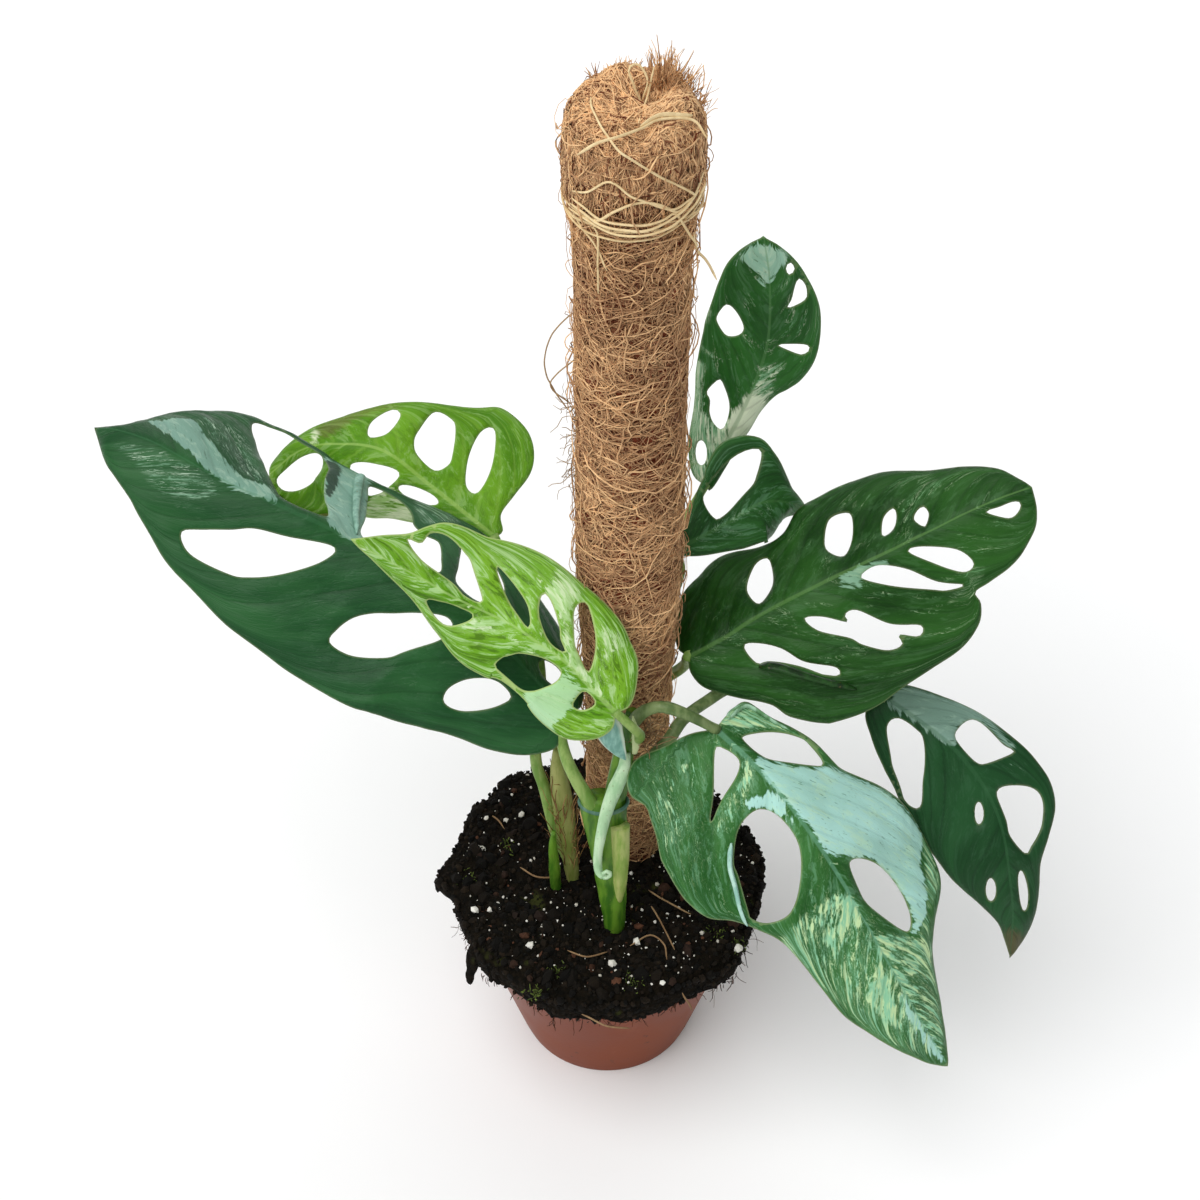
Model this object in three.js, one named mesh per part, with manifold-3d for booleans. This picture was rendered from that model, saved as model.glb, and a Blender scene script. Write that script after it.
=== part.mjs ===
// A potted marble monstera with pierced leaves on a coir pole, in millimetres, +Z up.
// The origin is the middle of the pot's underside. The leafy front faces -Y.
import * as THREE from "three";
import { mergeVertices } from "three/addons/utils/BufferGeometryUtils.js";
import Module from "manifold-3d";

const wasm = await Module();
wasm.setup();

// Driving dimensions
const GAP = 0.3;
const POT = {
  height: 85,
  baseRadius: 36.5,
  rimRadius: 60.8,
  lipHeight: 8,
  lipProud: 1.6,
  wall: 1.8,
  floor: 2,
  footEdge: 1,
  rimEdge: 0.6,
  sides: 64,
};
const DRAIN = { count: 6, radius: 4, ring: 23 };
const SOIL = {
  top: 90,
  edgeThickness: 5,
  reach: 63.6,
  skirt: 3,
  frontSkirt: 5.5,
  roughness: 2.2,
  edgeRoughness: 1.6,
  sectors: 72,
};
const POLE = { x: 8, y: 21, coreRadius: 9, coreFoot: 8, coreTop: 436, sleeveFoot: 60, coirLumps: 1.3 };
const BLADE = {
  thickness: 0.8,
  ribThickness: 2,
  cup: 0.12,
  marginStep: 4.6,
  ribStep: 7,
  innerStep: 9.5,
  ribRoom: 4,
  widest: 70,
  behindStalk: 30,
};

// Directions that the wide side of a stem or petiole section lies along
const STEM_WIDE = [1, 0.1, 0];
const PETIOLE_WIDE = [1, 0.13, 0.07];
const PETIOLE_SIDES = 8;
const PETIOLE_STEPS = 14;

// The coir sleeve's radius at each height
const SLEEVE_PROFILE = [
  [60, 16.3],
  [90, 16.6],
  [130, 16.4],
  [170, 16.8],
  [200, 17.6],
  [230, 19.4],
  [260, 20],
  [290, 20.2],
  [320, 19.7],
  [350, 20.1],
  [380, 20],
  [400, 20.2],
  [416, 21.6],
  [430, 23.2],
  [443, 23.4],
  [453, 23],
  [459, 20.5],
  [461.5, 14],
  [462, 8],
];

// Each leaf: its rib from petiole to tip, the way its face looks, how far each half droops from that
// face in degrees at the base, middle and tip, and its margins as [along, out] on the flattened
// blade. A hole is a loop of such points, or an oval as [along, out, length, width, turn in
// degrees]. Left is +, seen from the face.
const LEAVES = {
  leaf_left_large: {
    colour: 0x336038,
    rib: [
      [-16, -6, 198], [-38, 6, 220], [-62, 18, 239], [-97, 33, 252], [-123, 41, 261],
      [-148, 50, 269], [-170, 60, 276], [-186, 68, 276], [-197, 75, 271],
    ],
    face: [0, -0.31, 0.95],
    droopLeft: [20, 24, 28],
    droopRight: [30, 38, 34],
    left: [
      [-3, 5], [-8, 12], [-3, 22], [8, 31], [20, 37], [33, 43], [45, 50], [62, 54], [80, 56.5],
      [103, 56], [122, 53], [138, 49], [152, 43.5], [164, 38.5], [174, 32], [185, 26], [198, 19.5],
      [211, 11],
    ],
    right: [
      [-4, 8], [2, 21], [14, 30.5], [30, 38], [45, 43.5], [60, 50], [74, 56.5], [86, 59], [98, 56],
      [110, 56], [123, 59.5], [139, 62.5], [152, 62.5], [164, 59], [178, 52.5], [190, 42],
      [201, 28], [205, 13], [209, 4],
    ],
    holes: [
      [[169, -51], [158, -58.5], [147, -59.5], [137, -58], [129, -50], [127, -37], [123.5, -25],
        [120, -15], [119, -6], [127, -4.5], [137, -4.5], [144, -12], [152, -24], [160, -36]],
      [[112, -49], [103, -48], [96, -42], [92, -34], [86, -31], [80, -31], [75, -21], [72, -11],
        [78, -6], [88, -4.5], [98, -4.5], [105, -8], [107, -20], [110, -35]],
      [[73, -42], [65, -43], [55, -37], [47, -27], [46, -16], [54, -10], [64, -11], [67, -21],
        [70, -32]],
      [13, -9.5, 13, 10, 0],
      [[165, 25], [157.5, 20], [148.5, 15.5], [141, 11.5], [128.5, 9], [111, 5.5], [113, 12.5],
        [124, 22], [136, 29.5], [144, 31.5], [159, 31]],
      [[96, 38.5], [95.5, 32.5], [92, 26], [86, 21], [78.5, 17], [70, 12], [59.5, 7], [54.5, 9],
        [56, 16.5], [65, 27], [71.5, 33], [85.5, 39]],
      [[37, 30.5], [38.5, 26], [36.5, 19.5], [32, 14], [26, 11], [19, 11.5], [19.5, 16.5],
        [23, 23], [28, 28.5], [33.5, 31]],
    ],
  },
  leaf_left_back: {
    colour: 0x528a1f,
    rib: [
      [-45, 75, 212], [-70, 91, 224], [-90, 101, 235], [-110, 107, 233], [-124, 110, 227],
      [-138, 108, 215],
    ],
    face: [0, -0.55, 0.83],
    droopLeft: [20, 20, 20],
    droopRight: [8, 15, 30],
    left: [
      [0, 4], [5, 7], [14, 10], [26, 14.5], [36, 20], [44, 26.5], [56, 30], [69, 32], [84, 33.5],
      [98, 33], [107, 30], [113, 22.5], [116.5, 14], [116, 6],
    ],
    right: [
      [-1, 4], [4, 9], [5, 19], [6, 30], [10, 38], [17, 44], [26, 46.5], [33, 45.5], [40, 39],
      [50, 31], [59, 24], [68, 18.5], [79, 13.7], [88, 10], [96, 7.3], [104, 5.5], [110, 3.8],
    ],
    holes: [
      [[111, 3.5], [104, 2.8], [95, 2.8], [87, 3.5], [84.5, 6.5], [88, 11], [100, 13.8],
        [108, 12.3], [112, 8]],
      [[71, 8.5], [56.5, 6], [46, 4], [46, 12], [48, 16.5], [53, 19], [66, 16.5]],
      [34.5, 6, 17, 5.5, 18],
      [[65.5, -12], [60.5, -19.5], [57.5, -17.5], [58.5, -8], [63, -4], [65.5, -6]],
      [[49, -10.5], [50, -16], [49.5, -26.5], [44, -28.5], [40.5, -26.5], [34.5, -16.5],
        [33, -11.5], [36, -6], [45, -6.5]],
      [[29, -20], [31.5, -32], [28, -36], [19.5, -22], [17, -10], [22.5, -9.5]],
    ],
  },
  leaf_left_front: {
    colour: 0x6aa20f,
    rib: [
      [3, -25, 219], [-7, -20, 228], [-15, -16, 236], [-25, -12, 242], [-33, -8, 246],
      [-41, -4, 248], [-56, 0, 254], [-68, 4, 260], [-85, 8, 269], [-94, 10, 275],
    ],
    face: [0, -0.69, 0.72],
    droopLeft: [25, 28, 28],
    droopRight: [5, 6, 8],
    left: [
      [-4, 6], [-3, 15], [4, 23], [16, 25], [30, 23], [41, 22], [55, 25], [65, 23], [75, 17],
      [86, 11], [96, 7], [108, 3],
    ],
    right: [
      [-2, 5], [1, 12], [8, 20], [19, 24], [31, 27], [43, 28], [54, 29], [64, 28], [74, 26],
      [84, 25], [91, 22.5], [96, 18], [101, 12.5], [110, 7],
    ],
    holes: [
      [[83, 7.5], [77.5, 4], [72, 3], [66, 3.5], [67.5, 8], [74, 12.5]],
      [[52, 18], [46, 11.5], [42, 7.5], [34, 4], [25.5, 4.5], [24, 11], [32, 19.2], [41, 19.6]],
      [[13, 9.5], [14, 3], [9, 2.4], [7.5, 4.5], [8.5, 8.5], [11, 10.5]],
      [[100, -10.5], [95, -11.5], [93.5, -16.5], [88, -18.5], [80.5, -16.5], [75, -14], [66, -5],
        [66, -2.5], [72, -2.5], [78, -4.5], [91.5, -6]],
      [[65, -17.5], [57.5, -14], [49.5, -8.5], [46, -2.6], [55, -6.5], [62.5, -13.5]],
      [[47.5, -16.5], [37, -10], [33.5, -6], [29.5, -2.8], [36.5, -3], [45.5, -9]],
      [[35, -18.5], [32, -22], [22.5, -11], [18.5, -3.5], [26.5, -6], [30.5, -10.5]],
    ],
  },
  leaf_right_top: {
    colour: 0x305529,
    rib: [
      [38, 69, 246], [45, 76, 260], [54, 80, 282], [60, 83, 306], [60, 87, 331], [57, 90, 351],
    ],
    face: [0, -0.85, 0.5],
    droopLeft: [8, 8, 8],
    droopRight: [15, 15, 15],
    left: [
      [1, 5], [5, 9], [13, 13.2], [25, 17], [41, 22.2], [54, 24.3], [66, 24.6], [76, 23.8],
      [91, 19.8], [101, 16], [107, 10.8], [110.5, 5],
    ],
    right: [
      [-1, 3], [9, 4.5], [18, 5], [27, 6.2], [37, 7], [44, 9.9], [48, 14], [53, 18], [61, 20.8],
      [72, 20.8], [80, 19.5], [89, 16], [98.5, 11], [107, 5],
    ],
    holes: [
      [[75, 20], [82.5, 17], [81.5, 14], [74, 10], [69.5, 10], [66.5, 13], [67, 16.5]],
      [[35.5, 15.5], [43, 13.5], [42.5, 11], [33.5, 5], [24, 3.5], [24, 7.5], [27.5, 11],
        [32.5, 13]],
      [11, 6.8, 10, 4.5, 25],
      [[96.6, -6.8], [98, -7.6], [98, -9.2], [95.6, -10.2], [94, -9], [94.2, -7.4]],
      [[91.6, -11.6], [89, -13.8], [86, -14.6], [82.5, -13.8], [80.5, -7], [84, -8.5],
        [89.5, -10]],
      [[65.5, -4.5], [66, -9], [65.5, -15.5], [64, -17.6], [62.5, -16.6], [62, -13.5]],
    ],
  },
  leaf_right_back: {
    colour: 0x2b5a2c,
    rib: [
      [26, 36, 244], [35, 40, 246], [47, 46, 249], [59, 53, 252], [71, 60, 245], [80, 68, 231],
    ],
    face: [0, -0.75, 0.66],
    droopLeft: [10, 10, 10],
    droopRight: [15, 15, 15],
    left: [[-2, 3], [9, 9], [19, 17], [29, 23], [36, 27.5], [42, 25], [46, 18], [51, 9], [57, 4]],
    right: [[-1, 2], [6, 6], [14, 9], [29, 14], [44, 17], [54, 14], [60, 6]],
    holes: [
      [[18.5, 12], [23, 16], [31.5, 18.5], [38.5, 21], [42, 19.5], [39.5, 11], [35.5, 6.5],
        [21.5, 3], [18.5, 5]],
    ],
  },
  leaf_right_large: {
    colour: 0x305529,
    rib: [
      [31, 15, 206], [45, 17, 215], [59, 20, 225], [82, 25, 237], [104, 31, 246],
      [121, 36, 253], [135, 40, 259], [148, 43, 264], [160, 46, 267],
    ],
    face: [0, -0.69, 0.72],
    droopLeft: [30, 38, 38],
    droopRight: [4, 5, 8],
    left: [
      [-3, 7], [0, 18], [7, 27], [17, 30], [29, 32], [43, 28], [53, 29], [63, 37], [76, 39],
      [90, 38], [104, 34], [116, 27], [127, 21], [138, 13], [144, 5],
    ],
    right: [
      [-2, 6], [0, 14], [9, 23], [17, 31], [20, 40], [27, 48], [40, 51], [56, 52], [70, 50],
      [84, 48], [97, 46], [106, 41], [110, 34], [110, 29], [117, 28], [127, 26], [136, 22],
      [143, 16], [146, 9],
    ],
    holes: [
      [[42.5, 22.5], [44.5, 20], [42.5, 10], [36.5, 5], [33.5, 6], [32.5, 13.5], [38, 21]],
      [[81, 25], [79, 16], [72.5, 7.5], [67.5, 12], [67.5, 17.5], [73, 26]],
      [[97, 17.5], [97, 14], [94.5, 9.5], [91, 7.5], [88.5, 8.5], [92, 15.5]],
      [[107.5, 12], [108, 8], [106, 4.5], [104, 3], [102, 8], [104.5, 11.5]],
      [[127.5, -3], [133, -3], [138.5, -3], [141, -4.5], [139, -7.5], [134.5, -8.3]],
      [[94.5, -3.2], [100, -4], [111, -11], [114.5, -18.5], [109.5, -20], [100.5, -11]],
      [[75, -3.5], [82, -3], [91, -9], [99, -18.5], [107.5, -24.5], [101, -23.5], [96, -20.5],
        [85, -13.5], [75.5, -6]],
      [[48, -9], [54.5, -11.5], [62, -17.5], [62.5, -14.5], [67.5, -15], [76.5, -25],
        [86.5, -31], [84.5, -34.5], [78, -30.5], [77.5, -34.5], [71.5, -34], [63.5, -28],
        [60, -23.5], [50.5, -15.5]],
      [[21.5, -6.5], [33, -14.5], [39.5, -23.5], [49, -30.5], [50.5, -33.5], [49, -34.5],
        [44.5, -32], [36.5, -24], [25.5, -17], [21, -15]],
    ],
  },
  leaf_front: {
    colour: 0x3f7d55,
    rib: [
      [41, -14, 197], [57, -28, 190], [73, -42, 177], [90, -56, 155], [108, -70, 125],
      [121, -77, 100], [135, -82, 72],
    ],
    face: [0, -0.69, 0.72],
    droopLeft: [30, 36, 30],
    droopRight: [4, 4, 4],
    left: [
      [-1, 8], [0, 18], [11, 20.5], [26, 26], [36, 28], [44, 30], [53, 36], [63, 42], [77, 47],
      [92, 49], [104, 46], [114, 40.5], [123, 30], [133, 21.5], [147, 15], [164, 7],
    ],
    right: [
      [-6, 8], [-10, 18], [-15, 29], [-13, 37], [-7, 41], [0, 40], [5, 43], [17, 49.5], [35, 53],
      [49, 54], [61, 51], [68, 43.5], [76, 37.5], [86, 32], [97, 29.5], [112, 27.5], [130, 25],
      [145, 19], [161, 11], [170, 6],
    ],
    holes: [
      [[9.5, 6.5], [15.5, 16], [24.5, 23.2], [29.5, 24.2], [37.5, 24], [35.5, 19.5], [25, 8.5],
        [19.5, 5], [11.5, 4.5]],
      [[73.5, 7], [78.5, 15.5], [91.5, 22.5], [107.5, 22], [114.5, 17.5], [111.5, 13.5],
        [95, 6.5], [86, 5]],
      [[5.5, -6], [7.5, -3.3], [14.5, -2.6], [18, -7], [21, -18], [25, -27], [16, -18]],
      [[33.5, -15.5], [35, -9], [43, -5.5], [56, -6.5], [70, -15], [77.5, -23.5], [76.5, -32],
        [71.5, -36.6], [67.5, -36.2], [52.5, -32], [45.5, -30], [36.5, -22.5]],
    ],
  },
  leaf_right_low: {
    colour: 0x2c523a,
    rib: [
      [109, 15, 183], [124, 7, 176], [136, 0, 169], [146, -7, 159], [152, -14, 151],
      [156, -21, 142], [159, -29, 128], [162, -35, 108], [163, -40, 85],
    ],
    face: [0, -0.69, 0.72],
    droopLeft: [15, 15, 15],
    droopRight: [12, 12, 12],
    left: [
      [-3, 5], [5, 9.5], [19, 14], [34, 18.5], [45, 21.5], [55, 24.5], [64, 26], [72, 24],
      [80, 18.5], [90, 14], [103, 12], [112, 10], [121, 7.5], [129, 4],
    ],
    right: [
      [-3, 9], [4, 16], [14, 22.5], [30, 29], [45, 32], [60, 32.5], [75, 30], [88, 25], [98, 19],
      [108, 12], [116, 6], [125, 3],
    ],
    holes: [
      [[30, 5.5], [32.5, 14.5], [45.5, 16.6], [50, 18.4], [47, 7], [43.5, 3], [34, 2.6]],
      [[57.5, 3.5], [59.5, 13], [65.5, 19.8], [74, 17.6], [82, 11], [84.5, 8], [76, 2.8],
        [69.5, 2.6]],
      [101, 5, 19, 4, 0],
      [[9, -4], [18, -3.5], [22.5, -5.5], [33.5, -16.5], [45.5, -25], [42.5, -28.3],
        [33.5, -27.6], [22.5, -23], [16, -18.3], [7.4, -9.5]],
      [62.5, -6.5, 10, 3.5, -20],
      [98.5, -8, 12, 4, -5],
    ],
  },
};

// Petioles: their route from the stem to the rib's end, and half widths at both ends
const PETIOLES = {
  petiole_left_large: {
    route: [
      [-5, -18.5, 155], [-8, -19, 163], [-12, -18, 172], [-16, -15, 182], [-18, -10, 191],
      [-16.5, -6.5, 197.5],
    ],
    from: 3,
    to: 1.8,
  },
  petiole_left_back: {
    route: [
      [-16, -2, 104], [-21, -2, 122], [-25, -2, 148], [-28, -2, 164], [-28, 6, 180],
      [-26, 17, 193], [-30, 38, 203], [-38, 60, 205], [-45.5, 75.5, 212.3],
    ],
    from: 2.6,
    to: 1.6,
  },
  petiole_left_front: {
    route: [
      [9, -11, 189], [11.5, -15.5, 193], [12, -21, 202], [9, -26, 212], [2.5, -24.7, 219.4],
    ],
    from: 2.2,
    to: 1.6,
  },
  petiole_right_top: {
    route: [[23, 45, 228], [27, 52, 234], [32, 61, 239], [38.3, 69.4, 246.6]],
    from: 2.2,
    to: 1.5,
  },
  petiole_right_back: {
    route: [[22, 43, 206], [26, 41, 216], [28, 38, 230], [26.5, 36.2, 244.3]],
    from: 2.2,
    to: 1.5,
  },
  petiole_right_large: {
    route: [[19, 43, 160], [27, 38, 172], [31, 30, 186], [31, 21, 199], [31.5, 15.2, 206.5]],
    from: 2.6,
    to: 2,
  },
  petiole_front: {
    route: [[9, -12, 198], [14, -14.5, 208], [21, -16, 212], [31, -17, 208], [41.5, -14.3, 197]],
    from: 2.8,
    to: 1.8,
  },
  petiole_right_low: {
    route: [
      [7, -13, 172], [15, -12, 176], [23, -9, 184], [29, -3, 190], [38, 6, 190], [50, 13, 192],
      [71, 20, 189], [96, 21, 184], [109.5, 14.7, 183],
    ],
    from: 2.6,
    to: 1.8,
  },
};

// Numbers from 0 to 1, the same on every run
function seeded(seed) {
  let state = seed;
  return () => {
    state = (state * 1664525 + 1013904223) % 4294967296;
    return state / 4294967296;
  };
}

const vector = (p) => new THREE.Vector3(p[0], p[1], p[2] ?? 0);
const radians = THREE.MathUtils.degToRad;
const lerp = THREE.MathUtils.lerp;

function curveThrough(points) {
  return new THREE.CatmullRomCurve3(points.map(vector), false, "catmullrom", 0.5);
}

function meshGeometry(points, triangles) {
  const geometry = new THREE.BufferGeometry();
  const flat = points.flatMap((p) => [p.x, p.y, p.z]);
  geometry.setAttribute("position", new THREE.Float32BufferAttribute(flat, 3));
  geometry.setIndex(triangles.flat());
  return geometry;
}

// Joins and cuts of closed meshes

function toSolid(geometry) {
  const bare = geometry.clone();
  bare.deleteAttribute("normal");
  bare.deleteAttribute("uv");
  const merged = mergeVertices(bare, 1e-4);
  const mesh = new wasm.Mesh({
    numProp: 3,
    vertProperties: new Float32Array(merged.attributes.position.array),
    triVerts: new Uint32Array(merged.index.array),
  });
  return new wasm.Manifold(mesh);
}

function fromSolid(solid) {
  const mesh = solid.getMesh();
  const geometry = new THREE.BufferGeometry();
  geometry.setAttribute("position", new THREE.Float32BufferAttribute(mesh.vertProperties, 3));
  geometry.setIndex(Array.from(mesh.triVerts));
  return geometry;
}

function joined(geometries) {
  return fromSolid(geometries.map(toSolid).reduce((all, next) => all.add(next)));
}

function cut(geometry, tools) {
  return fromSolid(tools.map(toSolid).reduce((rest, tool) => rest.subtract(tool), toSolid(geometry)));
}

// A closed tube of oval rings. Each ring is [centre, half width, half thickness], and the width
// lies along the given direction.
function ovalTube(rings, wide, sides) {
  const centres = rings.map((ring) => vector(ring[0]));
  const points = [];
  rings.forEach(([, width, thickness], i) => {
    const before = centres[Math.max(0, i - 1)];
    const after = centres[Math.min(rings.length - 1, i + 1)];
    const ahead = after.clone().sub(before).normalize();
    const across = vector(wide).addScaledVector(ahead, -vector(wide).dot(ahead)).normalize();
    const through = new THREE.Vector3().crossVectors(ahead, across);
    for (let k = 0; k < sides; k++) {
      const turn = (2 * Math.PI * k) / sides;
      const point = centres[i].clone().addScaledVector(across, width * Math.cos(turn));
      points.push(point.addScaledVector(through, thickness * Math.sin(turn)));
    }
  });
  const triangles = [];
  for (let i = 0; i < rings.length - 1; i++) {
    for (let k = 0; k < sides; k++) {
      const a = i * sides + k;
      const b = i * sides + ((k + 1) % sides);
      triangles.push([a, b, b + sides], [a, b + sides, a + sides]);
    }
  }
  const foot = points.push(centres[0].clone()) - 1;
  const head = points.push(centres[rings.length - 1].clone()) - 1;
  const last = (rings.length - 1) * sides;
  for (let k = 0; k < sides; k++) {
    const next = (k + 1) % sides;
    triangles.push([foot, next, k], [head, last + k, last + next]);
  }
  return meshGeometry(points, triangles);
}

// A round tube along a smooth route, tapering from one radius to another
function petioleTube({ route, from, to }, grow = 0) {
  const curve = curveThrough(route);
  const rings = [];
  for (let i = 0; i <= PETIOLE_STEPS; i++) {
    const t = i / PETIOLE_STEPS;
    const radius = lerp(from, to, t) + grow;
    rings.push([curve.getPointAt(t).toArray(), radius, radius]);
  }
  return ovalTube(rings, PETIOLE_WIDE, PETIOLE_SIDES);
}

// A closed body of rings about an axis. Each ring is a function from an angle to [radius, height].
function ringBody(rings, sectors, x = 0, y = 0) {
  const points = [];
  for (const ring of rings) {
    for (let k = 0; k < sectors; k++) {
      const angle = (2 * Math.PI * k) / sectors;
      const [radius, z] = ring(angle, k);
      points.push(new THREE.Vector3(x + radius * Math.cos(angle), y + radius * Math.sin(angle), z));
    }
  }
  const triangles = [];
  for (let i = 0; i < rings.length - 1; i++) {
    for (let k = 0; k < sectors; k++) {
      const a = i * sectors + k;
      const b = i * sectors + ((k + 1) % sectors);
      triangles.push([a, b, b + sectors], [a, b + sectors, a + sectors]);
    }
  }
  const middle = (i) => {
    const ring = points.slice(i * sectors, (i + 1) * sectors);
    const z = ring.reduce((sum, p) => sum + p.z, 0) / sectors;
    return new THREE.Vector3(x, y, z);
  };
  const foot = points.push(middle(0)) - 1;
  const head = points.push(middle(rings.length - 1)) - 1;
  const last = (rings.length - 1) * sectors;
  for (let k = 0; k < sectors; k++) {
    const next = (k + 1) % sectors;
    triangles.push([foot, next, k], [head, last + k, last + next]);
  }
  return meshGeometry(points, triangles);
}

// Pot

function potWallRadius(z) {
  const top = POT.rimRadius - POT.lipProud;
  return lerp(POT.baseRadius, top, z / POT.height);
}

function potShell() {
  const lipFoot = POT.height - POT.lipHeight;
  const profile = [
    [0, 0],
    [POT.baseRadius - POT.footEdge, 0],
    [POT.baseRadius, POT.footEdge],
    [potWallRadius(lipFoot), lipFoot],
    [potWallRadius(lipFoot) + POT.lipProud, lipFoot + 1],
    [POT.rimRadius, POT.height - POT.rimEdge],
    [POT.rimRadius - POT.rimEdge, POT.height],
    [potWallRadius(POT.height) - POT.wall, POT.height],
    [POT.baseRadius - POT.wall, POT.floor],
    [0, POT.floor],
  ];
  const outline = profile.map(([r, z]) => new THREE.Vector2(r, z));
  return new THREE.LatheGeometry(outline, POT.sides).rotateX(Math.PI / 2);
}

function potGeometry() {
  const drains = Array.from({ length: DRAIN.count }, (_, k) => {
    const angle = (2 * Math.PI * k) / DRAIN.count;
    const hole = new THREE.CylinderGeometry(DRAIN.radius, DRAIN.radius, 3 * POT.floor, 16);
    hole.rotateX(Math.PI / 2);
    return hole.translate(DRAIN.ring * Math.cos(angle), DRAIN.ring * Math.sin(angle), POT.floor / 2);
  });
  return cut(potShell(), drains);
}

// Soil, heaped over the rim and down its outside at the front

function degreesApart(angle, degrees) {
  const apart = THREE.MathUtils.radToDeg(angle) - degrees;
  return Math.abs(((apart + 540) % 360) - 180);
}

// Lumps of the soil's edge: [direction in degrees, how far out, half width in degrees]
const SOIL_LUMPS = [
  [181, 6, 5], [172, 2.5, 9], [149, 3, 9], [128, 4, 12], [-139, 2.5, 8], [-109, 2.5, 10],
  [-84, 1.5, 7], [-42, 4, 10], [10, 2, 12], [60, 2.5, 14],
];

function soilReach(angle) {
  let reach = SOIL.reach;
  for (const [where, out, width] of SOIL_LUMPS) {
    reach += out * Math.exp(-((degreesApart(angle, where) / width) ** 2));
  }
  return reach;
}

function soilSkirt(angle) {
  const front = Math.max(0, -Math.sin(angle));
  return SOIL.skirt + SOIL.frontSkirt * front ** 2;
}

// The crumbly top's rings: [radius, lift above the soil's top]
const SOIL_TOP_RINGS = [[54, 1.5], [46, 0.5], [38, 0], [30, 0], [22, 0], [14, 0], [7, 0]];

function soilGeometry() {
  const random = seeded(11);
  const lip = POT.rimRadius + GAP;
  const inside = POT.wall + GAP;
  const rough = (size) => (random() - 0.5) * size;
  const edges = Array.from({ length: SOIL.sectors }, () => rough(SOIL.edgeRoughness));
  const foot = POT.height - GAP;
  const top = ([radius, lift]) => () => [
    radius + rough(SOIL.roughness),
    SOIL.top + lift + rough(SOIL.roughness),
  ];
  const rings = [
    () => [POT.baseRadius - inside, POT.floor + GAP],
    () => [potWallRadius(POT.height) - inside, POT.height + GAP],
    () => [lip, POT.height + GAP],
    (angle) => [lip, foot - soilSkirt(angle)],
    (angle, k) => [soilReach(angle) + edges[k] - 1, foot - soilSkirt(angle) + edges[k]],
    (angle, k) => [soilReach(angle) + edges[k], POT.height - soilSkirt(angle) / 2 + 2],
    (angle, k) => [soilReach(angle) + edges[k] - 2.5, POT.height + SOIL.edgeThickness],
    ...SOIL_TOP_RINGS.map(top),
  ];
  return ringBody(rings, SOIL.sectors);
}

// Pole: a stake inside a wrapped coir sleeve with its top folded in

function stakeGeometry(grow = 0) {
  const ring = (radius, z) => () => [radius + grow, z];
  const rings = [
    ring(POLE.coreRadius, POLE.coreFoot - grow),
    ring(POLE.coreRadius, POLE.coreTop + grow),
  ];
  return ringBody(rings, 24, POLE.x, POLE.y);
}

// The sleeve's outside with no bore
function sleeveShape(grow = 0) {
  const random = seeded(5);
  const lump = () => (grow ? 0 : (random() - 0.5) * POLE.coirLumps);
  const rings = SLEEVE_PROFILE.map(([z, radius], i) => {
    const fall = i === 0 ? grow : 0;
    return () => [radius + lump() + grow, z - fall];
  });
  return ringBody(rings, 28, POLE.x, POLE.y);
}

function sleeveGeometry() {
  const bore = (z) => () => [POLE.coreRadius + GAP, z];
  const tool = ringBody([bore(POLE.sleeveFoot - 5), bore(POLE.coreTop + GAP)], 24, POLE.x, POLE.y);
  return cut(sleeveShape(), [tool]);
}

// Raffia wound twice round the pole's neck, each turn tilted towards its highest side in degrees
const RAFFIA = {
  halfWidth: 1,
  halfHeight: 1.5,
  steps: 26,
  turns: [
    { height: 421, tilt: 4, radius: 24.9, highest: 270 },
    { height: 429, tilt: 8, radius: 25.3, highest: 60 },
  ],
};

function raffiaTurn({ height, tilt, radius, highest }) {
  const centres = Array.from({ length: RAFFIA.steps }, (_, k) => {
    const angle = (2 * Math.PI * k) / RAFFIA.steps;
    const z = height + tilt * Math.cos(angle - radians(highest));
    return new THREE.Vector3(POLE.x + radius * Math.cos(angle), POLE.y + radius * Math.sin(angle), z);
  });
  return loopTube(centres, RAFFIA.halfWidth, RAFFIA.halfHeight, 6);
}

const raffiaGeometry = () => joined(RAFFIA.turns.map(raffiaTurn));

// A tube round the pole whose last ring joins its first
function loopTube(centres, halfWidth, halfHeight, sides) {
  const count = centres.length;
  const points = [];
  for (const centre of centres) {
    const out = new THREE.Vector3(centre.x - POLE.x, centre.y - POLE.y, 0).normalize();
    for (let k = 0; k < sides; k++) {
      const turn = (2 * Math.PI * k) / sides;
      const point = centre.clone().addScaledVector(out, halfWidth * Math.cos(turn));
      point.z += halfHeight * Math.sin(turn);
      points.push(point);
    }
  }
  const triangles = [];
  for (let i = 0; i < count; i++) {
    for (let k = 0; k < sides; k++) {
      const a = i * sides + k;
      const b = i * sides + ((k + 1) % sides);
      const c = ((i + 1) % count) * sides + k;
      const d = ((i + 1) % count) * sides + ((k + 1) % sides);
      triangles.push([a, c, d], [a, d, b]);
    }
  }
  return meshGeometry(points, triangles);
}

// Stems, each a list of [centre, half width, half thickness]

const FRONT_STEM = [
  [[3, -27, 58], 2, 2],
  [[3, -27, 85], 3.6, 3],
  [[3, -26.5, 97], 4.6, 3.6],
  [[2, -25, 112], 5.9, 4],
  [[1, -22, 133], 7.6, 4.4],
  [[-1, -18, 150], 8.8, 4.8],
  [[-1.5, -17, 154], 9.4, 5.4],
  [[-1.5, -16.5, 157], 9.4, 5.4],
  [[-1, -16, 160], 7.6, 4.6],
];

const FRONT_STEM_TOP = [
  [[1, -17, 150], 4.2, 4],
  [[4, -15, 165], 4.4, 3.8],
  [[6, -12.5, 180], 4, 3.6],
  [[8, -11, 192], 3.6, 3.3],
  [[9.5, -10.5, 203], 2.4, 2.4],
];

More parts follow.
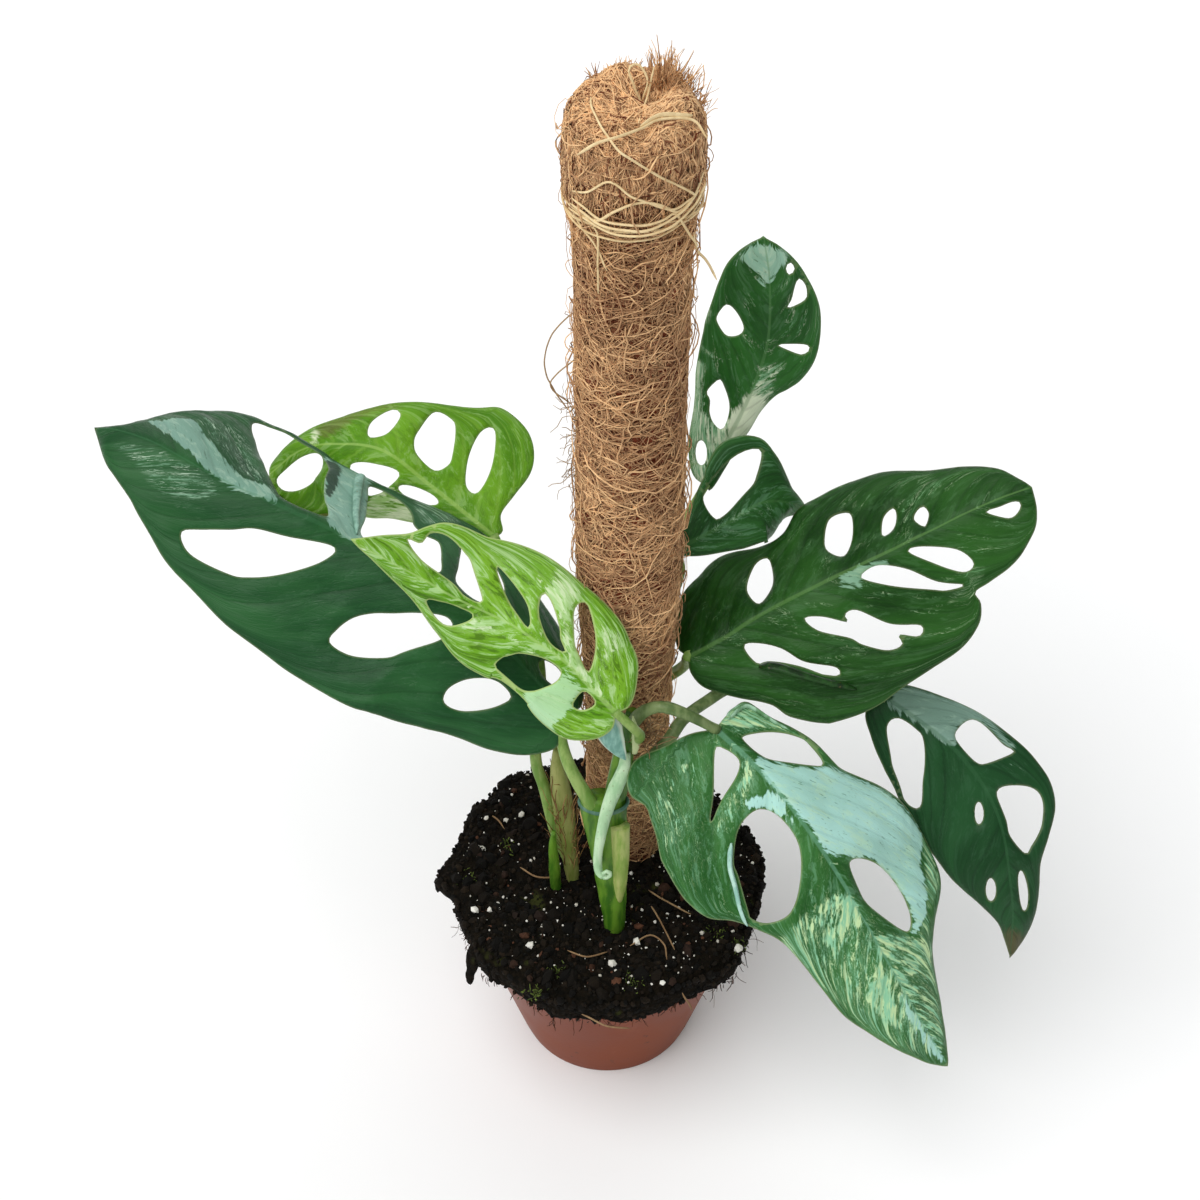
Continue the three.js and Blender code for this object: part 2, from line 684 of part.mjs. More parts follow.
const CUT_PETIOLE = [
  [[4.5, -27, 108], 1.6, 1.6],
  [[5, -26.5, 120], 3, 3],
  [[5.2, -24.5, 135], 3.6, 3.4],
  [[5, -22, 149], 3.9, 3.4],
];

const LEFT_STEM = [
  [[-14, -2, 58], 2, 2],
  [[-14, -2, 88], 2.6, 2.4],
  [[-15.5, -3, 108], 3.4, 3],
  [[-17, -4, 130], 4.2, 3.4],
  [[-18.5, -5, 150], 4, 3.2],
  [[-19.5, -5.5, 165], 2.8, 2.4],
  [[-20, -5.5, 176], 1.2, 1.2],
];

const BACK_STEM = [
  [[12, 40, 58], 2.4, 2.4],
  [[15, 45, 88], 3.6, 3.4],
  [[18, 46, 130], 4, 3.6],
  [[20, 45.5, 170], 4, 3.6],
  [[21.5, 45.5, 200], 3.8, 3.4],
  [[23, 45.5, 228], 3, 2.8],
  [[24, 46, 238], 1.6, 1.6],
];

const SHOOT = [
  [[-21, -6, 66], 1.6, 1.6],
  [[-21, -6.5, 88], 2.2, 2],
  [[-21.5, -8, 104], 2.4, 2],
  [[-21.8, -9.5, 122], 1.8, 1.6],
  [[-21.5, -10.5, 131], 0.9, 0.9],
];

const grown = (rings, by) =>
  rings.map(([centre, width, thickness]) => [centre, width + by, thickness + by]);

function frontStemGeometry(grow = 0) {
  return joined([
    ovalTube(grown(FRONT_STEM, grow), STEM_WIDE, 14),
    ovalTube(grown(FRONT_STEM_TOP, grow), STEM_WIDE, 12),
    ovalTube(grown(CUT_PETIOLE, grow), STEM_WIDE, 10),
  ]);
}

const leftStemGeometry = (grow = 0) => ovalTube(grown(LEFT_STEM, grow), STEM_WIDE, 12);
const backStemGeometry = (grow = 0) => ovalTube(grown(BACK_STEM, grow), STEM_WIDE, 12);
const shootGeometry = (grow = 0) => ovalTube(grown(SHOOT, grow), STEM_WIDE, 8);

// The newest leaf, still rolled, hanging from the top of the front stem
const ROLLED_LEAF = [
  [[7, -15.5, 185], 1.8, 1.5],
  [[6, -19.5, 179], 2.6, 2.2],
  [[3, -22.5, 172], 3, 2.6],
  [[0, -25, 163], 2.5, 2.2],
  [[-2.5, -27.5, 150], 2.1, 1.9],
  [[-3.8, -29.5, 139], 1.8, 1.7],
  [[-3.4, -31.5, 132], 1.6, 1.5],
  [[-1.6, -33, 130.5], 1.3, 1.3],
];

const rolledLeafGeometry = () => ovalTube(ROLLED_LEAF, STEM_WIDE, 10);

// Leaf blades

// An angle at t of the way from base to tip, from its values at the base, middle and tip
function droopAt([base, middle, tip], t) {
  return t < 0.5 ? lerp(base, middle, t * 2) : lerp(middle, tip, t * 2 - 1);
}

// The place of a point of the flattened blade, [along the rib, out to the left], in the plant
function bladeSurface(leaf) {
  const curve = curveThrough(leaf.rib);
  const length = curve.getLength();
  const face = vector(leaf.face).normalize();
  const place = (u, v) => {
    const t = THREE.MathUtils.clamp(u / length, 0, 1);
    const ahead = curve.getTangentAt(t);
    const centre = curve.getPointAt(t).addScaledVector(ahead, u - t * length);
    const up = face.clone().addScaledVector(ahead, -face.dot(ahead)).normalize();
    const left = new THREE.Vector3().crossVectors(up, ahead);
    const out = Math.abs(v);
    const droop = droopAt(v > 0 ? leaf.droopLeft : leaf.droopRight, t);
    const angle = radians(droop + (BLADE.cup * out) / 2);
    centre.addScaledVector(left, v * Math.cos(angle));
    return centre.addScaledVector(up, -out * Math.sin(angle));
  };
  return { length, place };
}

function bladeNormal(place, u, v) {
  const here = place(u, v);
  const alongRib = place(u + 1, v).sub(here);
  const onRib = Math.abs(v) < 0.01;
  const outwards = onRib ? place(u, 1).sub(place(u, -1)) : place(u, v + Math.sign(v)).sub(here);
  const across = outwards.multiplyScalar(v < 0 && !onRib ? -1 : 1);
  return new THREE.Vector3().crossVectors(alongRib, across).normalize();
}

const flat2 = (p) => [p.x, p.y];

function marginLoop(leaf, length) {
  const half = (points, side) => {
    const route = [[0, 0], ...points, [length, 0]].map(([u, v]) => [u, v * side]);
    const curve = curveThrough(route);
    const count = Math.round(curve.getLength() / BLADE.marginStep);
    return curve.getSpacedPoints(count).map(flat2);
  };
  const left = half(leaf.left, 1);
  const right = half(leaf.right, -1).reverse();
  return [...left.slice(0, -1), ...right.slice(0, -1)];
}

function holeLoop(hole) {
  if (Array.isArray(hole[0])) {
    const curve = new THREE.CatmullRomCurve3(hole.map(vector), true, "catmullrom", 0.5);
    const count = Math.round(curve.getLength() / BLADE.marginStep);
    return curve.getSpacedPoints(count).slice(0, -1).map(flat2);
  }
  const [u, v, length, width, turn] = hole;
  const around = Math.PI * (length + width) * 0.5;
  const count = Math.max(8, Math.round(around / BLADE.marginStep));
  const ellipse = new THREE.EllipseCurve(u, v, length / 2, width / 2, 0, 2 * Math.PI, false, radians(turn));
  return ellipse.getSpacedPoints(count).slice(0, -1).map(flat2);
}

function inside([x, y], loop) {
  let within = false;
  for (let i = 0, j = loop.length - 1; i < loop.length; j = i++) {
    const [x0, y0] = loop[i];
    const [x1, y1] = loop[j];
    if (y0 > y !== y1 > y && x < ((x1 - x0) * (y - y0)) / (y1 - y0) + x0) within = !within;
  }
  return within;
}

const apart = (a, b) => Math.hypot(a[0] - b[0], a[1] - b[1]);

const sidesOf = ([a, b, c]) => [[a, b], [b, c], [c, a]];
const sideKey = (from, to) => `${Math.min(from, to)},${Math.max(from, to)}`;

// The sides that only one of the triangles has
function openSides(triangles) {
  const open = new Map();
  for (const [from, to] of triangles.flatMap(sidesOf)) {
    const key = sideKey(from, to);
    if (!open.delete(key)) open.set(key, [from, to]);
  }
  return [...open.values()];
}

// A triangle's corners with the circle through them
function circled(all, corners) {
  const [[ax, ay], [bx, by], [cx, cy]] = corners.map((corner) => all[corner]);
  const d = 2 * (ax * (by - cy) + bx * (cy - ay) + cx * (ay - by));
  const a2 = ax * ax + ay * ay;
  const b2 = bx * bx + by * by;
  const c2 = cx * cx + cy * cy;
  const x = (a2 * (by - cy) + b2 * (cy - ay) + c2 * (ay - by)) / d;
  const y = (a2 * (cx - bx) + b2 * (ax - cx) + c2 * (bx - ax)) / d;
  return { corners, centre: [x, y], reach: Math.hypot(ax - x, ay - y) };
}

// Delaunay triangles of flat points, adding one point at a time
function delaunay(points) {
  const far = 1e4;
  const all = [...points, [-far, -far], [far, -far], [0, far]];
  const n = points.length;
  let triangles = [circled(all, [n, n + 1, n + 2])];
  points.forEach((point, i) => {
    const reached = ({ centre, reach }) => apart(point, centre) < reach;
    const removed = triangles.filter(reached).map(({ corners }) => corners);
    triangles = triangles.filter((triangle) => !reached(triangle));
    for (const [from, to] of openSides(removed)) triangles.push(circled(all, [from, to, i]));
  });
  return triangles.map(({ corners }) => corners).filter((corners) => Math.max(...corners) < n);
}

// The loop with a point added halfway along each side that isn't one of the known sides
function splitMissing(loop, first, known) {
  return loop.flatMap((point, i) => {
    const after = (i + 1) % loop.length;
    if (known.has(sideKey(first + i, first + after))) return [point];
    return [point, [0, 1].map((k) => (point[k] + loop[after][k]) / 2)];
  });
}

// Triangles over the loops and inner points, with the loops' sides split until each is followed
function triangulate(loops, inner) {
  const points = [...loops.flat(), ...inner];
  const triangles = delaunay(points);
  const known = new Set(triangles.flatMap(sidesOf).map(([from, to]) => sideKey(from, to)));
  let first = 0;
  const finer = loops.map((loop) => {
    const split = splitMissing(loop, first, known);
    first += loop.length;
    return split;
  });
  if (finer.flat().length > loops.flat().length) return triangulate(finer, inner);
  return { points, triangles };
}

// Points on the rib and on a grid of equal triangles, clear of the margin and holes
function innerPoints(loops, length) {
  const [margin, ...holes] = loops;
  const rim = loops.flat();
  const held = (point) => inside(point, margin) && !holes.some((hole) => inside(point, hole));
  const clear = (point, room) => rim.every((other) => apart(point, other) > room);
  const points = [];
  for (let u = BLADE.ribStep / 2; u < length - 2; u += BLADE.ribStep) {
    if (held([u, 0]) && clear([u, 0], 1.2)) points.push([u, 0]);
  }
  const step = BLADE.innerStep;
  const rise = (step * Math.sqrt(3)) / 2;
  const rows = Math.ceil(BLADE.widest / rise);
  for (let row = -rows; row <= rows; row++) {
    const v = row * rise;
    if (Math.abs(v) < BLADE.ribRoom) continue;
    for (let u = (row % 2) * (step / 2) - BLADE.behindStalk; u < length + step; u += step) {
      if (held([u, v]) && clear([u, v], step / 2)) points.push([u, v]);
    }
  }
  return points;
}

// The triangles inside the margin and outside the holes, all turning the same way
function bladeTriangles({ points, triangles }, [margin, ...holes]) {
  const middle = (corners) => [0, 1].map((k) => corners.reduce((sum, c) => sum + points[c][k], 0) / 3);
  const kept = triangles.filter((corners) => {
    const centre = middle(corners);
    return inside(centre, margin) && !holes.some((hole) => inside(centre, hole));
  });
  return kept.map(([a, b, c]) => {
    const [[ax, ay], [bx, by], [cx, cy]] = [a, b, c].map((corner) => points[corner]);
    return (bx - ax) * (cy - ay) > (by - ay) * (cx - ax) ? [a, b, c] : [a, c, b];
  });
}

// The blade's two faces, thicker under the rib, closed along the margin and the holes
function bladeGeometry(leaf) {
  const { length, place } = bladeSurface(leaf);
  const loops = [marginLoop(leaf, length), ...leaf.holes.map(holeLoop)];
  const net = triangulate(loops, innerPoints(loops, length));
  const triangles = bladeTriangles(net, loops);
  const half = BLADE.thickness / 2;
  const depth = ([u, v]) => {
    if (Math.abs(v) >= 0.01) return half;
    const t = THREE.MathUtils.clamp(u / length, 0, 1);
    return lerp(BLADE.ribThickness, BLADE.thickness, t) - half;
  };
  const lifted = ([u, v], by) => place(u, v).addScaledVector(bladeNormal(place, u, v), by);
  const upper = net.points.map((point) => lifted(point, half));
  const lower = net.points.map((point) => lifted(point, -Math.max(half, depth(point))));
  const count = net.points.length;
  const faces = triangles.flatMap(([a, b, c]) => [[a, b, c], [a + count, c + count, b + count]]);
  for (const [from, to] of openSides(triangles)) {
    faces.push([from, from + count, to + count], [from, to + count, to]);
  }
  return usedOnly([...upper, ...lower], faces);
}

// Leaves out the points that no face uses
function usedOnly(points, faces) {
  const places = new Map();
  const kept = [];
  const placeOf = (corner) => {
    if (!places.has(corner)) places.set(corner, kept.push(points[corner]) - 1);
    return places.get(corner);
  };
  const renumbered = faces.map((face) => face.map(placeOf));
  return meshGeometry(kept, renumbered);
}

// Materials

const finish = (color, roughness) =>
  new THREE.MeshStandardMaterial({ color, roughness, metalness: 0 });
const FINISH = {
  pot: finish(0x7d4c3b, 0.45),
  soil: finish(0x1d1709, 0.95),
  stake: finish(0x9a7a52, 0.8),
  coir: finish(0x966a45, 0.95),
  raffia: finish(0xb9a15c, 0.8),
  stem: finish(0x5f8a2e, 0.5),
  petiole: finish(0x6f8f4a, 0.5),
  rolled: finish(0xa9dca0, 0.45),
};

// The assembly

const group = new THREE.Group();

function addPiece(name, geometry, material) {
  const mesh = new THREE.Mesh(geometry, material);
  mesh.name = name;
  group.add(mesh);
}

const STEMS = {
  stem_front: frontStemGeometry,
  stem_left: leftStemGeometry,
  stem_back: backStemGeometry,
  shoot_left: shootGeometry,
};
const grownStems = Object.values(STEMS).map((build) => build(GAP));

addPiece("pot", potGeometry(), FINISH.pot);
addPiece(
  "soil",
  cut(soilGeometry(), [sleeveShape(GAP + POLE.coirLumps / 2), stakeGeometry(GAP), ...grownStems]),
  FINISH.soil,
);
addPiece("pole_stake", stakeGeometry(), FINISH.stake);
addPiece("coir_sleeve", sleeveGeometry(), FINISH.coir);
addPiece("raffia_tie", raffiaGeometry(), FINISH.raffia);
for (const [name, build] of Object.entries(STEMS)) addPiece(name, build(), FINISH.stem);
addPiece("leaf_rolled", cut(rolledLeafGeometry(), [frontStemGeometry(GAP)]), FINISH.rolled);
for (const [name, petiole] of Object.entries(PETIOLES)) {
  addPiece(name, cut(petioleTube(petiole), grownStems), FINISH.petiole);
}
for (const [name, leaf] of Object.entries(LEAVES)) {
  const petiole = PETIOLES[name.replace("leaf", "petiole")];
  addPiece(name, cut(bladeGeometry(leaf), [petioleTube(petiole, GAP)]), finish(leaf.colour, 0.35));
}

export default group;
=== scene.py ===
"""A potted marble monstera on its coir pole: leaves, stems, coir, soil and pot, in the part's frame."""

import math

import bpy
import numpy as np
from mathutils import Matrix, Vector, geometry


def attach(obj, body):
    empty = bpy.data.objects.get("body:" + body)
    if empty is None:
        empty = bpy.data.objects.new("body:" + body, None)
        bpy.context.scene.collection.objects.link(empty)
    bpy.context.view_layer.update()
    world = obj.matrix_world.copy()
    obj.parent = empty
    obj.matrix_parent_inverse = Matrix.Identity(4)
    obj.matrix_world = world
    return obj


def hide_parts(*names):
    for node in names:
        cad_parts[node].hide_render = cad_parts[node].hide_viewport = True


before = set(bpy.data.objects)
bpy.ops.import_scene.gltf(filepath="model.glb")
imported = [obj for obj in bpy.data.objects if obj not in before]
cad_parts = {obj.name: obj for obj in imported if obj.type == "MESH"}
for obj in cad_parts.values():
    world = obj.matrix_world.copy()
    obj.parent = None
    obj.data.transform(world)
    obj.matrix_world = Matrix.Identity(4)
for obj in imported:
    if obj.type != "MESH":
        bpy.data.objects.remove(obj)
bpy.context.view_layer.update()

# Lengths are in millimetres here and become metres when a mesh is made
MM = 0.001
GAP = 0.3
UP = np.array([0, 0, 1.0])
POT = dict(height=85, base=36.5, rim=60.8, lip=8, lip_proud=1.6, wall=1.8, floor=2, sides=128)
DRAIN = dict(count=6, radius=4, ring=23, sides=24)
SOIL = dict(top=90, edge=5, reach=63.6, skirt=3, front_skirt=5.5, sectors=288)
POLE = dict(x=8, y=21, foot=60, sectors=96)
POLE_CENTRE = (POLE["x"], POLE["y"])
# Blades: thickness, depth added under the rib, cup in degrees for a mm out, and the steps between points
BLADE = dict(thickness=0.7, rib=1.9, cup=0.12, step=1.9, rib_step=1.8, margin_step=1.5)

# The coir sleeve's radius at each height
SLEEVE = [
    (60, 16.3), (90, 16.6), (130, 16.4), (170, 16.8), (200, 17.6), (230, 19.4), (260, 20), (290, 20.2),
    (320, 19.7), (350, 20.1), (380, 20), (400, 20.2), (416, 21.6), (430, 23.2), (443, 23.4), (453, 23),
    (459, 20.5), (461.5, 14), (462, 8),
]

# Each leaf: its rib from stalk to tip, the way its face looks, the droop of each half in degrees at the
# base, middle and tip, and its margins as (along, how far out) on the flattened blade. A hole is a loop of
# (along, out), left being +, or an oval as (along, out, length, width, turn in degrees).
LEAVES = {
    "left_large": dict(
        rib=[(-16, -6, 198), (-38, 6, 220), (-62, 18, 239), (-97, 33, 252), (-123, 41, 261),
             (-148, 50, 269), (-170, 60, 276), (-186, 68, 276), (-197, 75, 271)],
        face=(0, -0.31, 0.95), droop_left=(20, 24, 28), droop_right=(30, 38, 34),
        left=[(-3, 5), (-8, 12), (-3, 22), (8, 31), (20, 37), (33, 43), (45, 50), (62, 54), (80, 56.5),
              (103, 56), (122, 53), (138, 49), (152, 43.5), (164, 38.5), (174, 32), (185, 26),
              (198, 19.5), (211, 11)],
        right=[(-4, 8), (2, 21), (14, 30.5), (30, 38), (45, 43.5), (60, 50), (74, 56.5), (86, 59),
               (98, 56), (110, 56), (123, 59.5), (139, 62.5), (152, 62.5), (164, 59), (178, 52.5),
               (190, 42), (201, 28), (205, 13), (209, 4)],
        holes=[
            [(169, -51), (158, -58.5), (147, -59.5), (137, -58), (129, -50), (127, -37), (123.5, -25),
             (120, -15), (119, -6), (127, -4.5), (137, -4.5), (144, -12), (152, -24), (160, -36)],
            [(112, -49), (103, -48), (96, -42), (92, -34), (86, -31), (80, -31), (75, -21), (72, -11),
             (78, -6), (88, -4.5), (98, -4.5), (105, -8), (107, -20), (110, -35)],
            [(73, -42), (65, -43), (55, -37), (47, -27), (46, -16), (54, -10), (64, -11), (67, -21),
             (70, -32)],
            (13, -9.5, 13, 10, 0),
            [(165, 25), (157.5, 20), (148.5, 15.5), (141, 11.5), (128.5, 9), (111, 5.5), (113, 12.5),
             (124, 22), (136, 29.5), (144, 31.5), (159, 31)],
            [(96, 38.5), (95.5, 32.5), (92, 26), (86, 21), (78.5, 17), (70, 12), (59.5, 7), (54.5, 9),
             (56, 16.5), (65, 27), (71.5, 33), (85.5, 39)],
            [(37, 30.5), (38.5, 26), (36.5, 19.5), (32, 14), (26, 11), (19, 11.5), (19.5, 16.5),
             (23, 23), (28, 28.5), (33.5, 31)],
        ],
    ),
    "left_back": dict(
        rib=[(-45, 75, 212), (-70, 91, 224), (-90, 101, 235), (-110, 107, 233), (-124, 110, 227),
             (-138, 108, 215)],
        face=(0, -0.55, 0.83), droop_left=(20, 20, 20), droop_right=(8, 15, 30),
        left=[(0, 4), (5, 7), (14, 10), (26, 14.5), (36, 20), (44, 26.5), (56, 30), (69, 32),
              (84, 33.5), (98, 33), (107, 30), (113, 22.5), (116.5, 14), (116, 6)],
        right=[(-1, 4), (4, 9), (5, 19), (6, 30), (10, 38), (17, 44), (26, 46.5), (33, 45.5), (40, 39),
               (50, 31), (59, 24), (68, 18.5), (79, 13.7), (88, 10), (96, 7.3), (104, 5.5),
               (110, 3.8)],
        holes=[
            [(111, 3.5), (104, 2.8), (95, 2.8), (87, 3.5), (84.5, 6.5), (88, 11), (100, 13.8),
             (108, 12.3), (112, 8)],
            [(71, 8.5), (56.5, 6), (46, 4), (46, 12), (48, 16.5), (53, 19), (66, 16.5)],
            (34.5, 6, 17, 5.5, 18),
            [(65.5, -12), (60.5, -19.5), (57.5, -17.5), (58.5, -8), (63, -4), (65.5, -6)],
            [(49, -10.5), (50, -16), (49.5, -26.5), (44, -28.5), (40.5, -26.5), (34.5, -16.5),
             (33, -11.5), (36, -6), (45, -6.5)],
            [(29, -20), (31.5, -32), (28, -36), (19.5, -22), (17, -10), (22.5, -9.5)],
        ],
    ),
    "left_front": dict(
        rib=[(3, -25, 219), (-7, -20, 228), (-15, -16, 236), (-25, -12, 242), (-33, -8, 246),
             (-41, -4, 248), (-56, 0, 254), (-68, 4, 260), (-85, 8, 269), (-94, 10, 275)],
        face=(0, -0.69, 0.72), droop_left=(25, 28, 28), droop_right=(5, 6, 8),
        left=[(-4, 6), (-3, 15), (4, 23), (16, 25), (30, 23), (41, 22), (55, 25), (65, 23), (75, 17),
              (86, 11), (96, 7), (108, 3)],
        right=[(-2, 5), (1, 12), (8, 20), (19, 24), (31, 27), (43, 28), (54, 29), (64, 28), (74, 26),
               (84, 25), (91, 22.5), (96, 18), (101, 12.5), (110, 7)],
        holes=[
            [(83, 7.5), (77.5, 4), (72, 3), (66, 3.5), (67.5, 8), (74, 12.5)],
            [(52, 18), (46, 11.5), (42, 7.5), (34, 4), (25.5, 4.5), (24, 11), (32, 19.2), (41, 19.6)],
            [(13, 9.5), (14, 3), (9, 2.4), (7.5, 4.5), (8.5, 8.5), (11, 10.5)],
            [(100, -10.5), (95, -11.5), (93.5, -16.5), (88, -18.5), (80.5, -16.5), (75, -14), (66, -5),
             (66, -2.5), (72, -2.5), (78, -4.5), (91.5, -6)],
            [(65, -17.5), (57.5, -14), (49.5, -8.5), (46, -2.6), (55, -6.5), (62.5, -13.5)],
            [(47.5, -16.5), (37, -10), (33.5, -6), (29.5, -2.8), (36.5, -3), (45.5, -9)],
            [(35, -18.5), (32, -22), (22.5, -11), (18.5, -3.5), (26.5, -6), (30.5, -10.5)],
        ],
    ),
    "right_top": dict(
        rib=[(38, 69, 246), (45, 76, 260), (54, 80, 282), (60, 83, 306), (60, 87, 331), (57, 90, 351)],
        face=(0, -0.85, 0.5), droop_left=(8, 8, 8), droop_right=(15, 15, 15),
        left=[(1, 5), (5, 9), (13, 13.2), (25, 17), (41, 22.2), (54, 24.3), (66, 24.6), (76, 23.8),
              (91, 19.8), (101, 16), (107, 10.8), (110.5, 5)],
        right=[(-1, 3), (9, 4.5), (18, 5), (27, 6.2), (37, 7), (44, 9.9), (48, 14), (53, 18),
               (61, 20.8), (72, 20.8), (80, 19.5), (89, 16), (98.5, 11), (107, 5)],
        holes=[
            [(75, 20), (82.5, 17), (81.5, 14), (74, 10), (69.5, 10), (66.5, 13), (67, 16.5)],
            [(35.5, 15.5), (43, 13.5), (42.5, 11), (33.5, 5), (24, 3.5), (24, 7.5), (27.5, 11),
             (32.5, 13)],
            (11, 6.8, 10, 4.5, 25),
            [(96.6, -6.8), (98, -7.6), (98, -9.2), (95.6, -10.2), (94, -9), (94.2, -7.4)],
            [(91.6, -11.6), (89, -13.8), (86, -14.6), (82.5, -13.8), (80.5, -7), (84, -8.5), (89.5, -10)],
            [(65.5, -4.5), (66, -9), (65.5, -15.5), (64, -17.6), (62.5, -16.6), (62, -13.5)],
        ],
    ),
    "right_back": dict(
        rib=[(26, 36, 244), (35, 40, 246), (47, 46, 249), (59, 53, 252), (71, 60, 245), (80, 68, 231)],
        face=(0, -0.75, 0.66), droop_left=(10, 10, 10), droop_right=(15, 15, 15),
        left=[(-2, 3), (9, 9), (19, 17), (29, 23), (36, 27.5), (42, 25), (46, 18), (51, 9), (57, 4)],
        right=[(-1, 2), (6, 6), (14, 9), (29, 14), (44, 17), (54, 14), (60, 6)],
        holes=[
            [(18.5, 12), (23, 16), (31.5, 18.5), (38.5, 21), (42, 19.5), (39.5, 11), (35.5, 6.5),
             (21.5, 3), (18.5, 5)],
        ],
    ),
    "right_large": dict(
        rib=[(31, 15, 206), (45, 17, 215), (59, 20, 225), (82, 25, 237), (104, 31, 246),
             (121, 36, 253), (135, 40, 259), (148, 43, 264), (160, 46, 267)],
        face=(0, -0.69, 0.72), droop_left=(30, 38, 38), droop_right=(4, 5, 8),
        left=[(-3, 7), (0, 18), (7, 27), (17, 30), (29, 32), (43, 28), (53, 29), (63, 37), (76, 39),
              (90, 38), (104, 34), (116, 27), (127, 21), (138, 13), (144, 5)],
        right=[(-2, 6), (0, 14), (9, 23), (17, 31), (20, 40), (27, 48), (40, 51), (56, 52), (70, 50),
               (84, 48), (97, 46), (106, 41), (110, 34), (110, 29), (117, 28), (127, 26), (136, 22),
               (143, 16), (146, 9)],
        holes=[
            [(42.5, 22.5), (44.5, 20), (42.5, 10), (36.5, 5), (33.5, 6), (32.5, 13.5), (38, 21)],
            [(81, 25), (79, 16), (72.5, 7.5), (67.5, 12), (67.5, 17.5), (73, 26)],
            [(97, 17.5), (97, 14), (94.5, 9.5), (91, 7.5), (88.5, 8.5), (92, 15.5)],
            [(107.5, 12), (108, 8), (106, 4.5), (104, 3), (102, 8), (104.5, 11.5)],
            [(127.5, -3), (133, -3), (138.5, -3), (141, -4.5), (139, -7.5), (134.5, -8.3)],
            [(94.5, -3.2), (100, -4), (111, -11), (114.5, -18.5), (109.5, -20), (100.5, -11)],
            [(75, -3.5), (82, -3), (91, -9), (99, -18.5), (107.5, -24.5), (101, -23.5), (96, -20.5),
             (85, -13.5), (75.5, -6)],
            [(48, -9), (54.5, -11.5), (62, -17.5), (62.5, -14.5), (67.5, -15), (76.5, -25), (86.5, -31),
             (84.5, -34.5), (78, -30.5), (77.5, -34.5), (71.5, -34), (63.5, -28), (60, -23.5),
             (50.5, -15.5)],
            [(21.5, -6.5), (33, -14.5), (39.5, -23.5), (49, -30.5), (50.5, -33.5), (49, -34.5),
             (44.5, -32), (36.5, -24), (25.5, -17), (21, -15)],
        ],
    ),
    "front": dict(
        rib=[(41, -14, 197), (57, -28, 190), (73, -42, 177), (90, -56, 155), (108, -70, 125),
             (121, -77, 100), (135, -82, 72)],
        face=(0, -0.69, 0.72), droop_left=(30, 36, 30), droop_right=(4, 4, 4),
        left=[(-1, 8), (0, 18), (11, 20.5), (26, 26), (36, 28), (44, 30), (53, 36), (63, 42),
              (77, 47), (92, 49), (104, 46), (114, 40.5), (123, 30), (133, 21.5), (147, 15), (164, 7)],
        right=[(-6, 8), (-10, 18), (-15, 29), (-13, 37), (-7, 41), (0, 40), (5, 43), (17, 49.5),
               (35, 53), (49, 54), (61, 51), (68, 43.5), (76, 37.5), (86, 32), (97, 29.5),
               (112, 27.5), (130, 25), (145, 19), (161, 11), (170, 6)],
        holes=[
            [(9.5, 6.5), (15.5, 16), (24.5, 23.2), (29.5, 24.2), (37.5, 24), (35.5, 19.5), (25, 8.5),
             (19.5, 5), (11.5, 4.5)],
            [(73.5, 7), (78.5, 15.5), (91.5, 22.5), (107.5, 22), (114.5, 17.5), (111.5, 13.5), (95, 6.5),
             (86, 5)],
            [(5.5, -6), (7.5, -3.3), (14.5, -2.6), (18, -7), (21, -18), (25, -27), (16, -18)],
            [(33.5, -15.5), (35, -9), (43, -5.5), (56, -6.5), (70, -15), (77.5, -23.5), (76.5, -32),
             (71.5, -36.6), (67.5, -36.2), (52.5, -32), (45.5, -30), (36.5, -22.5)],
        ],
    ),
    "right_low": dict(
        rib=[(109, 15, 183), (124, 7, 176), (136, 0, 169), (146, -7, 159), (152, -14, 151),
             (156, -21, 142), (159, -29, 128), (162, -35, 108), (163, -40, 85)],
        face=(0, -0.69, 0.72), droop_left=(15, 15, 15), droop_right=(12, 12, 12),
        left=[(-3, 5), (5, 9.5), (19, 14), (34, 18.5), (45, 21.5), (55, 24.5), (64, 26), (72, 24),
              (80, 18.5), (90, 14), (103, 12), (112, 10), (121, 7.5), (129, 4)],
        right=[(-3, 9), (4, 16), (14, 22.5), (30, 29), (45, 32), (60, 32.5), (75, 30), (88, 25),
               (98, 19), (108, 12), (116, 6), (125, 3)],
        holes=[
            [(30, 5.5), (32.5, 14.5), (45.5, 16.6), (50, 18.4), (47, 7), (43.5, 3), (34, 2.6)],
            [(57.5, 3.5), (59.5, 13), (65.5, 19.8), (74, 17.6), (82, 11), (84.5, 8), (76, 2.8),
             (69.5, 2.6)],
            (101, 5, 19, 4, 0),
            [(9, -4), (18, -3.5), (22.5, -5.5), (33.5, -16.5), (45.5, -25), (42.5, -28.3), (33.5, -27.6),
             (22.5, -23), (16, -18.3), (7.4, -9.5)],
            (62.5, -6.5, 10, 3.5, -20),
            (98.5, -8, 12, 4, -5),
        ],
    ),
}

